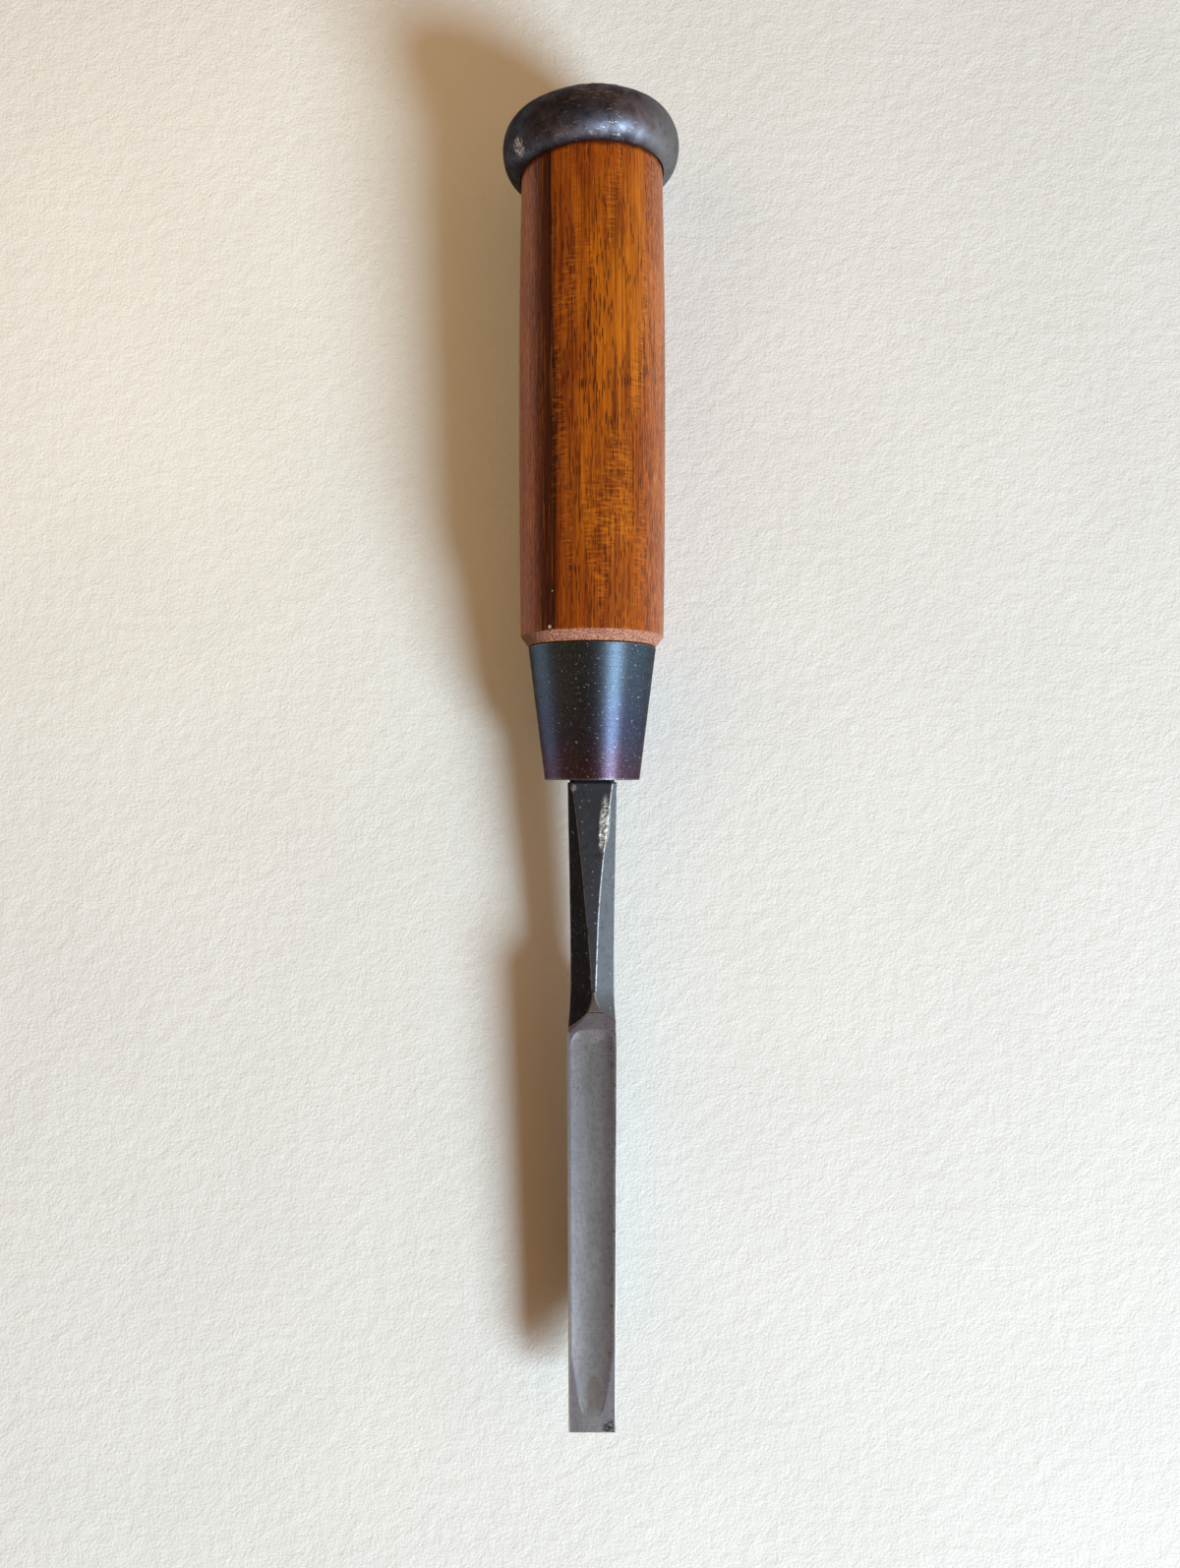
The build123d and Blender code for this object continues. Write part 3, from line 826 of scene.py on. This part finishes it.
class Surface(Nodes):
    """The nodes of a new material with one Principled shader."""

    def __init__(self, name):
        self.material = bpy.data.materials.new(name)
        self.material.use_nodes = True
        super().__init__(self.material.node_tree)
        output = self.add("ShaderNodeOutputMaterial")
        self.shader = self.add("ShaderNodeBsdfPrincipled")
        self.link(self.shader.outputs[0], output.inputs[0])

    def set(self, **values):
        for key, value in values.items():
            self.put(self.shader.inputs[key.replace("_", " ")], value)


def colour(red, green, blue):
    """A linear colour from sRGB values of 0 to 255."""
    linear = []
    for channel in (red, green, blue):
        share = channel / 255
        linear.append(share / 12.92 if share <= 0.04045 else ((share + 0.055) / 1.055) ** 2.4)
    return tuple(linear)


def handle_material():
    n = Surface("varnished_hardwood")
    x = n.axis(0)
    y = n.axis(1)
    # growth layers of the tree, whose heart lies off to the left of the handle
    wander = n.noise(n.place((0.09, 0.011, 0.09)), 1.0, 3, 0.55)
    split = n.add("ShaderNodeSeparateXYZ")
    n.link(n.place(offset=HEART), split.inputs[0])
    from_heart_x, _, from_heart_z = split.outputs
    square = n.math("ADD", n.times(from_heart_x, from_heart_x), n.times(from_heart_z, from_heart_z))
    radius = n.math("ADD", n.math("SQRT", square), n.times(wander, 16.0))
    layer = n.math("FRACT", n.times(radius, 0.36))
    late = n.times(n.steps(layer, 0.35, 0.9), n.steps(layer, 1.0, 0.93))
    # streaks and fine figure along the grain, golden patches, hair-fine fibres
    streaks = n.noise(n.place((1.0, 0.03, 1.0)), 1.3, 6, 0.68, 0.3)
    fine = n.noise(n.place((1.0, 0.02, 1.0), (40, 0, 0)), 5.5, 4, 0.65)
    glow = n.noise(n.place((0.16, 0.04, 0.16), (7, 3, 0)), 1.0, 2, 0.5)
    wood = n.mix(n.steps(streaks, 0.3, 0.7), colour(124, 49, 5), colour(170, 84, 6))
    wood = n.tint(wood, n.steps(glow, 0.42, 0.62), (180, 94, 8))
    wood = n.tint(wood, late, (118, 46, 8), 0.4)
    wood = n.tint(wood, n.steps(fine, 0.46, 0.66), (96, 38, 8), 0.6)
    hair = n.noise(n.place((1.0, 0.05, 1.0), (17, 4, 6)), 9.0, 3, 0.7)
    wood = n.tint(wood, n.steps(hair, 0.52, 0.7), (84, 32, 8), 0.5)
    wood = n.tint(wood, n.steps(hair, 0.46, 0.30), (216, 132, 40), 0.5)
    # golden wood with painted light right of the middle, redder wood with painted shade left of it
    golden_and_lit = n.times(n.steps(x, *LIT_GOLDEN_LEFT_X), n.steps(x, *LIT_GOLDEN_RIGHT_X))
    wood = n.tint(wood, n.times(golden_and_lit, n.steps(glow, 0.35, 0.6, 0.05, 0.35)), (184, 104, 14))
    wood = n.tint(wood, n.steps(x, *REDDER_SHADED_X, 0.0, 0.4), (128, 48, 8))
    # redder, darker wood towards the two ends of the grip
    ends = n.either(n.steps(y, *REDDER_TOP_Y), n.steps(y, *REDDER_LOW_Y))
    wood = n.tint(wood, ends, (142, 58, 12), 0.3)
    # a dark band down the left side, darker heartwood with painted shade over it, with nearly black lines
    # in it
    drift = n.times(n.math("SUBTRACT", wander, 0.5), 4.0)
    across = n.math("ADD", x, drift)
    heartwood_and_shade_band = n.times(n.steps(across, *SHADE_BAND_LEFT_X), n.steps(across, *SHADE_BAND_RIGHT_X))
    wood = n.tint(wood, heartwood_and_shade_band, (52, 18, 8), 0.8)
    lines = n.noise(n.place((1.0, 0.010, 1.0), (3, 9, 2)), 2.6, 3, 0.6)
    black = n.times(n.steps(lines, 0.54, 0.6), n.either(heartwood_and_shade_band, 0.12))
    wood = n.tint(wood, black, (20, 8, 5), 0.9)
    # one long nearly black line at the band's edge
    edge_line = n.math("ABSOLUTE", n.math("SUBTRACT", across, EDGE_LINE_X))
    broken = n.steps(n.noise(n.place((0.6, 0.05, 0.6), (1, 2, 3)), 1.5, 3, 0.6), 0.38, 0.5, 0.35, 0.9)
    wood = n.tint(wood, n.times(n.steps(edge_line, 0.42, 0.12), broken), (30, 12, 8))
    # thin, long grain lines, dark and light
    grain = n.noise(n.place((1.0, 0.018, 1.0), (9, 1, 4)), 2.3, 2, 0.6, 0.2)
    wood = n.tint(wood, n.steps(grain, 0.56, 0.61), (78, 30, 8), 0.6)
    wood = n.tint(wood, n.steps(grain, 0.42, 0.36), (206, 120, 30), 0.3)
    # open pores, filled dark
    patch = n.steps(n.noise(n.place((0.2, 0.03, 0.2), (3, 5, 1)), 1.0, 2), 0.40, 0.58)
    lower = n.steps(y, *PORES_LOW_Y)
    crowd = n.either(n.either(patch, late), n.times(lower, 0.6))
    pores = n.voronoi(n.place((1.0, 0.10, 1.0)), 2.7)
    pore_mask = n.times(n.steps(pores, 0.33, 0.24), crowd)
    slits = n.voronoi(n.place((1.0, 0.05, 1.0), (5, 2, 9)), 1.1)
    pore_mask = n.either(pore_mask, n.steps(slits, 0.13, 0.06))
    wood = n.tint(wood, pore_mask, (44, 16, 8), 0.8)
    # ray flecks: short ripples across the grain
    fleck = n.noise(n.place((0.45, 2.1, 0.45), (5, 0, 8)), 1.0, 3, 0.55)
    fleck_zone = n.steps(n.noise(n.place((0.22, 0.03, 0.22), (11, 2, 4)), 1.0, 1), 0.5, 0.64)
    ripple = n.times(n.steps(fleck, 0.45, 0.7), fleck_zone)
    wood = n.tint(wood, ripple, (206, 118, 26), 0.45)
    furrow = n.times(n.steps(fleck, 0.45, 0.36), fleck_zone)
    wood = n.tint(wood, furrow, (96, 40, 8), 0.4)
    # small knots
    knots = n.steps(n.voronoi(n.place((0.075, 0.032, 0.075), (1, 6, 2)), 1.0), 0.095, 0.04)
    wood = n.tint(wood, knots, (60, 20, 8), 0.85)
    # pale fibres with a painted sheen where the round turns away, and the dark varnish with painted shade
    # against the hoop
    sheen_flank = n.steps(n.math("ABSOLUTE", x), *SHEEN_FLANK_X)
    pale_fibre_sheen = n.times(n.steps(hair, 0.5, 0.36), n.times(sheen_flank, 0.6))
    wood = n.tint(wood, pale_fibre_sheen, (206, 150, 118))
    wood = n.tint(wood, sheen_flank, (150, 92, 66), 0.25)
    wood = n.tint(wood, n.attribute("pooled_varnish_shade"), (58, 18, 8), 0.85)
    # end grain of the bare shoulder, with painted shade on its left, and of the struck end
    bare = n.attribute("bare")
    struck = n.attribute("struck")
    cells = n.steps(n.noise(n.place(), 3.2, 3, 0.7), 0.4, 0.62)
    end_grain = n.mix(cells, colour(128, 76, 60), colour(190, 142, 122))
    ragged = n.math("ADD", bare, n.times(n.math("SUBTRACT", hair, 0.5), 1.2))
    shaded_grain = n.tint(end_grain, n.steps(x, *SHADED_X, 0.0, 0.6), (66, 30, 22))
    wood = n.mix(n.times(bare, n.steps(ragged, 0.15, 0.5)), wood, shaded_grain)
    struck_wood = n.mix(late, colour(168, 118, 78), colour(112, 70, 44))
    bruises = n.steps(n.noise(n.place(), 2.0, 3, 0.7), 0.5, 0.7)
    struck_wood = n.tint(struck_wood, bruises, (70, 44, 30), 0.6)
    wood = n.mix(struck, wood, struck_wood)
    # two small spots of white paint above the shoulder
    for centre, half_sizes in PAINT_SPOTS:
        wood = n.tint(wood, n.blob(centre, half_sizes), (226, 220, 210))
    varnish = n.inverse(n.either(bare, struck))
    height = n.math("ADD", n.times(fine, 0.3), n.times(ripple, 0.3))
    height = n.math("SUBTRACT", n.math("ADD", height, n.times(hair, 0.25)), pore_mask)
    normal = n.bump(height, 0.9, 0.09)
    n.set(Base_Color=wood, Roughness=0.6, Coat_Weight=n.times(varnish, 0.34), Normal=normal)
    n.set(Coat_Roughness=0.2, Coat_IOR=1.45, Specular_IOR_Level=0.12)
    return n.material


def hoop_material():
    n = Surface("blackened_hoop")
    x = n.axis(0)
    mottle = n.noise(n.place(), 0.4, 5, 0.65)
    base = n.mix(n.steps(mottle, 0.3, 0.7), colour(74, 73, 82), colour(118, 124, 146))
    # painted shade to the left and painted light to the right, with brown and bright specks
    base = n.tint(base, n.steps(x, *HOOP_SHADE_X, 0.0, 0.6), (30, 27, 30))
    base = n.tint(base, n.steps(x, *HOOP_SHEEN_X, 0.0, 0.7), (150, 150, 152))
    brown = n.steps(n.noise(n.place((1, 1, 1), (4, 8, 1)), 0.5, 4, 0.6), 0.5, 0.7)
    base = n.tint(base, brown, (62, 50, 44), 0.3)
    specks = n.steps(n.noise(n.place(), 2.4, 3, 0.75), 0.665, 0.70)
    base = n.tint(base, specks, (150, 148, 144))
    # a cluster of bright scratches low on the left
    scratch = n.noise(n.place((1.4, 0.5, 1.4), (0, 3, 7)), 2.2, 4, 0.8)
    cluster = n.blob(HOOP_SCRATCH, HOOP_SCRATCH_SIZE)
    bright = n.times(cluster, n.steps(scratch, 0.5, 0.56))
    base = n.tint(base, bright, (225, 222, 214))
    # short strokes across the front
    strokes = n.noise(n.place((0.5, 2.6, 0.5), (5, 5, 5)), 1.3, 3, 0.7)
    front = n.steps(n.math("ABSOLUTE", x), *HOOP_FRONT_X)
    base = n.tint(base, n.times(n.steps(strokes, 0.6, 0.66), front), (176, 180, 190))
    grain = n.noise(n.place(), 3.2, 5, 0.7)
    normal = n.bump(grain, 0.4, 0.05)
    metal = n.inverse(n.either(bright, n.times(specks, 0.5)))
    rough = n.steps(mottle, 0.3, 0.7, 0.48, 0.42)
    n.set(Base_Color=base, Metallic=metal, Roughness=rough, Normal=normal)
    n.set(Specular_Tint=(0.5, 0.5, 0.5, 1.0))
    return n.material


def ferrule_material():
    n = Surface("blued_ferrule")
    y = n.axis(1)
    # heat colours along the cone: purple at the mouth, then violet, then blue
    patches = n.noise(n.place((1, 0.6, 1)), 0.25, 2)
    heat = n.math("ADD", y, n.times(patches, 9.0))
    base = n.mix(n.steps(heat, *PURPLE_TO_VIOLET_Y), colour(98, 70, 94), colour(76, 86, 118))
    base = n.tint(base, n.steps(heat, *VIOLET_TO_BLUE_Y), (80, 100, 120))
    brushed = n.noise(n.place((0.12, 7.0, 0.12)), 1.0, 4, 0.65)
    grit = n.noise(n.place((1.0, 1.6, 1.0)), 4.0, 4, 0.75)
    base = n.tint(base, n.steps(brushed, 0.45, 0.7), (50, 52, 62), 0.55)
    base = n.tint(base, n.steps(grit, 0.48, 0.66), (128, 138, 150), 0.7)
    specks = n.steps(n.noise(n.place((1.0, 1.4, 1.0)), 1.8, 3, 0.75), 0.645, 0.68)
    base = n.tint(base, specks, (205, 208, 208))
    # a few long, fine scratches
    scratch = n.noise(n.place((0.9, 0.35, 0.9), (6, 1, 3)), 1.6, 2, 0.6, 1.2)
    hairline = n.steps(n.math("ABSOLUTE", n.math("SUBTRACT", scratch, 0.62)), 0.003, 0.0)
    hairline = n.times(hairline, n.steps(patches, 0.5, 0.6))
    base = n.tint(base, hairline, (180, 184, 188))
    # chipped blueing at both edges
    worn = n.either(n.steps(y, *WORN_MOUTH_Y), n.steps(y, *WORN_TOP_Y))
    chips = n.times(worn, n.steps(grit, 0.42, 0.55))
    base = n.tint(base, chips, (176, 176, 180), 0.6)
    height = n.math("ADD", brushed, n.times(grit, 0.5))
    tangent = n.add("ShaderNodeTangent", direction_type="RADIAL", axis="Y")
    metal = n.inverse(n.times(n.either(specks, hairline), 0.6))
    n.set(Base_Color=base, Metallic=metal, Normal=n.bump(height, 0.3, 0.03), Tangent=tangent.outputs[0])
    n.set(Roughness=0.5, Anisotropic=0.84, Anisotropic_Rotation=0.25, Specular_Tint=(0.52, 0.46, 0.42, 1.0))
    return n.material


def iron_material():
    n = Surface("black_iron")
    y = n.axis(1)
    z = n.axis(2)
    mottle = n.noise(n.place(), 0.8, 4, 0.6)
    grit = n.noise(n.place(), 3.0, 4, 0.7)
    lit_side = n.attribute("lit_side")
    # blue-black iron on the flat, with painted shade on the facets turned from the light and painted light
    # on those turned to it
    base = n.mix(n.steps(lit_side, -0.5, -0.15), colour(36, 33, 36), colour(92, 95, 104))
    base = n.tint(base, n.steps(lit_side, 0.25, 0.55), (115, 122, 131))
    base = n.tint(base, n.steps(mottle, 0.5, 0.7), (60, 64, 66), 0.35)
    base = n.tint(base, n.steps(grit, 0.6, 0.75), (150, 156, 160), 0.25)
    specks = n.steps(n.noise(n.place((1, 0.7, 1), (9, 1, 5)), 1.9, 3, 0.78), 0.66, 0.69)
    base = n.tint(base, specks, (186, 192, 200))
    # bright worn edges, broken up, with painted light that makes them brighter to the right
    chips = n.steps(n.noise(n.place(), 1.1, 4, 0.75), 0.36, 0.5)
    wear = n.times(n.steps(n.attribute("edge"), 0.3, 0.75), chips)
    wear = n.times(wear, n.steps(grit, 0.3, 0.5, 0.3, 1.0))
    wear = n.times(wear, n.steps(lit_side, -0.6, 0.2, 0.45, 0.9))
    base = n.tint(base, wear, (186, 198, 212))
    # a small crater at the ferrule, the hammer's dent, and the part of the back that was ground
    crater = n.times(n.blob(CRATER, CRATER_SIZE), n.steps(grit, 0.4, 0.6))
    base = n.tint(base, crater, (190, 190, 188))
    rough_patch = n.times(n.attribute("scar"), n.steps(grit, 0.40, 0.54))
    base = n.tint(base, rough_patch, (226, 226, 222))
    base = n.tint(base, n.attribute("ground"), (128, 122, 122))
    # the bevel, ground bright: every point within a hair of its plane
    rise = n.times(n.math("SUBTRACT", y, EDGE_Y), sin(BEVEL_ANGLE))
    depth = n.times(n.math("SUBTRACT", z, BACK_Z), cos(BEVEL_ANGLE))
    bevel = n.steps(n.math("ADD", rise, depth), *BEVEL_SKIN)
    grind = n.steps(n.noise(n.place((0.3, 6.0, 0.3)), 1.0, 3, 0.6), 0.35, 0.65)
    base = n.mix(bevel, base, n.mix(grind, colour(138, 136, 135), colour(164, 163, 161)))
    normal = n.bump(grit, 0.35, 0.05)
    bright = n.either(n.either(specks, rough_patch), crater)
    bright = n.times(bright, n.inverse(bevel))
    metal = n.inverse(n.times(bright, 0.55))
    n.set(Base_Color=base, Metallic=metal, Roughness=0.46, Normal=normal)
    return n.material


def steel_material():
    n = Surface("ground_steel")
    x = n.axis(0)
    y = n.axis(1)
    scratches = n.noise(n.place((7.0, 0.2, 7.0)), 1.0, 3, 0.6)
    cloud = n.noise(n.place((0.3, 0.05, 0.3)), 1.0, 3, 0.5)
    base = n.mix(n.steps(cloud, 0.35, 0.65), colour(130, 130, 133), colour(145, 144, 147))
    tip = n.steps(y, *TIP_Y)
    base = n.tint(base, tip, (138, 139, 142), 0.5)
    # purple tints along both sides of the hollow, uneven along the blade
    uneven = n.noise(n.place((0.5, 0.09, 0.5), (4, 4, 4)), 1.0, 3, 0.6)
    beside = n.steps(n.math("ABSOLUTE", x), *BESIDE_X)
    tinted = n.times(beside, n.steps(uneven, 0.38, 0.6, 0.2, 0.8))
    base = n.tint(base, tinted, (130, 125, 137))
    neck_end = n.steps(y, *NECK_END_Y)
    base = n.tint(base, neck_end, (112, 98, 106), 0.5)
    rust = n.times(n.steps(x, *RUST_X), n.steps(uneven, 0.45, 0.55))
    base = n.tint(base, rust, (62, 56, 62), 0.7)
    # dark pits, most near the neck
    pits = n.steps(n.noise(n.place((1.0, 1.0, 1.0), (2, 7, 3)), 2.0, 3, 0.78), 0.615, 0.65)
    near_neck = n.steps(y, *PITTED_Y, 0.3, 0.9)
    base = n.tint(base, n.times(pits, near_neck), (52, 44, 44))
    base = n.tint(base, n.steps(scratches, 0.5, 0.75), (100, 97, 99), 0.3)
    # mottle, grinding marks across the blade, and pits along the right edge
    mottle = n.noise(n.place((1.0, 0.5, 1.0), (6, 3, 8)), 1.7, 4, 0.7)
    base = n.tint(base, n.steps(mottle, 0.45, 0.62, 0.0, 0.45), (112, 108, 114))
    cross = n.noise(n.place((0.3, 3.0, 0.3), (7, 7, 1)), 1.0, 2, 0.6)
    base = n.tint(base, n.steps(cross, 0.55, 0.72, 0.0, 0.3), (158, 156, 156))
    right_pits = n.steps(n.noise(n.place((1.0, 0.8, 1.0), (9, 2, 5)), 1.6, 3, 0.75), 0.6, 0.65)
    right_pits = n.times(right_pits, n.steps(x, *PITTED_X, 0.0, 0.75))
    base = n.tint(base, right_pits, (58, 50, 54))
    worn = n.times(n.attribute("edge"), n.steps(x, *WORN_LEFT_X, 0.5, 1.0))
    base = n.tint(base, worn, (222, 220, 216))
    # dark chips at the right corner of the cutting edge
    chips = n.times(n.blob(CHIPS, CHIPS_SIZE), n.steps(n.noise(n.place(), 1.7, 3, 0.7), 0.46, 0.54))
    base = n.tint(base, chips, (34, 32, 34), 0.9)
    # an oval stain near the cutting edge
    across = n.math("DIVIDE", n.math("SUBTRACT", x, STAIN_X), STAIN_WIDTH)
    along = n.math("DIVIDE", n.math("SUBTRACT", y, STAIN_Y), STAIN_LENGTH)
    away = n.math("ADD", n.times(across, across), n.times(along, along))
    away = n.math("ADD", away, n.times(n.noise(n.place(), 0.8, 3, 0.6), 0.8))
    base = n.tint(base, n.steps(away, 1.7, 1.0), (112, 98, 90), 0.45)
    normal = n.bump(scratches, 0.15, 0.02)
    n.set(Base_Color=base, Metallic=1.0, Roughness=0.55, Normal=normal)
    return n.material


materials = {
    "iron": iron_material(),
    "steel": steel_material(),
    "ferrule": ferrule_material(),
    "hoop": hoop_material(),
    "handle": handle_material(),
}
for key, piece in pieces.items():
    piece.data.materials.append(materials[key])


# ------------------------------------------------------------------ floor
FLOOR_REACH = 1.5
FLOOR_CORNERS = ((-1, -1), (1, -1), (1, 1), (-1, 1))


def paper_material():
    n = Surface("paper")
    place = n.add("ShaderNodeTexCoord").outputs["Object"]
    broad = n.noise(place, 25, 2, 0.5)
    base = n.mix(n.steps(broad, 0.35, 0.65), colour(238, 238, 237), colour(241, 241, 240))
    # fine fibres over soft waves
    fibres = n.noise(place, 1700, 3, 0.6)
    waves = n.noise(place, 330, 3, 0.6)
    normal = n.bump(fibres, 1.0, 0.13, n.bump(waves, 1.0, 0.22))
    n.set(Base_Color=base, Roughness=0.95, Specular_IOR_Level=0.2, Normal=normal)
    return n.material


def make_floor():
    """A square sheet of paper under the tool, far wider than the picture."""
    mesh = bpy.data.meshes.new("floor")
    corners = [(across * FLOOR_REACH, along * FLOOR_REACH, 0) for across, along in FLOOR_CORNERS]
    mesh.from_pydata(corners, [], [(0, 1, 2, 3)])
    floor = bpy.data.objects.new("floor", mesh)
    scene.collection.objects.link(floor)
    mesh.materials.append(paper_material())


make_floor()


# ------------------------------------------------------------------ light
WINDOW_BEARING = Vector((0.69, -0.724, 0)).normalized()
WINDOW_HEIGHT = radians(31.0)
WINDOW_DISTANCE = 1.5
WINDOW_SIZE = 0.54
WINDOW_POWER = 33.4
WINDOW_COLOUR = (0.695, 0.89, 0.975)

ROOM_LAMP_PLACE = Vector((-0.10, 0.11, 0.13))
ROOM_LAMP_TARGET = Vector((-0.03, 0.06, 0))
ROOM_LAMP_SIZE = 0.14
ROOM_LAMP_POWER = 0.05
ROOM_LAMP_COLOUR = (1.0, 0.86, 0.5)

WARM_ROOM = (1.18, 0.61, 0.27)
DAYLIGHT = (0.95, 1.0, 1.1)
PLAIN_WALL = (0.86, 0.85, 0.83)


def make_room():
    """Room light: dim overhead, warm walls that are brighter and cooler towards the window."""
    world = bpy.data.worlds.new("room")
    world.use_nodes = True
    scene.world = world
    n = Nodes(world.node_tree)
    output = n.add("ShaderNodeOutputWorld")
    background = n.add("ShaderNodeBackground")
    n.link(background.outputs[0], output.inputs[0])
    split = n.add("ShaderNodeSeparateXYZ")
    n.link(n.add("ShaderNodeTexCoord").outputs["Generated"], split.inputs[0])
    x, y, z = split.outputs
    walls = n.times(n.steps(x, -0.9, 0.6, 0.32, 0.95), n.steps(y, 0.9, -0.1, 0.4, 0.78))
    ceiling = n.steps(z, 0.97, 0.62, 0.04, 1.0)
    low = n.times(n.steps(z, 0.45, 0.1), n.steps(x, 0.2, 0.9))
    tint = n.mix(low, WARM_ROOM, DAYLIGHT)
    # the camera itself sees a plain pale wall behind the floor
    seen = n.add("ShaderNodeLightPath").outputs["Is Camera Ray"]
    n.link(n.mix(seen, tint, PLAIN_WALL), background.inputs[0])
    strength = n.times(walls, ceiling)
    n.link(n.either(strength, seen), background.inputs[1])


def make_lamp(name, size, power, tone, location, target):
    """A round soft light at a place, turned towards a target."""
    data = bpy.data.lights.new(name, "AREA")
    data.shape = "DISK"
    data.size = size
    data.energy = power
    data.color = tone
    light = bpy.data.objects.new(name, data)
    light.location = location
    light.rotation_euler = (location - target).to_track_quat("Z", "Y").to_euler()
    scene.collection.objects.link(light)
    return light


make_room()
toward_window = WINDOW_BEARING * cos(WINDOW_HEIGHT) + Vector((0, 0, sin(WINDOW_HEIGHT)))
window_place = toward_window * WINDOW_DISTANCE
make_lamp("window", WINDOW_SIZE, WINDOW_POWER, WINDOW_COLOUR, window_place, Vector((0, 0, 0)))
# warm room light that reaches the handle from beyond its struck end
room_lamp = make_lamp(
    "room_lamp", ROOM_LAMP_SIZE, ROOM_LAMP_POWER, ROOM_LAMP_COLOUR, ROOM_LAMP_PLACE, ROOM_LAMP_TARGET
)
room_lamp.visible_glossy = False
scene.view_settings.view_transform = "Standard"
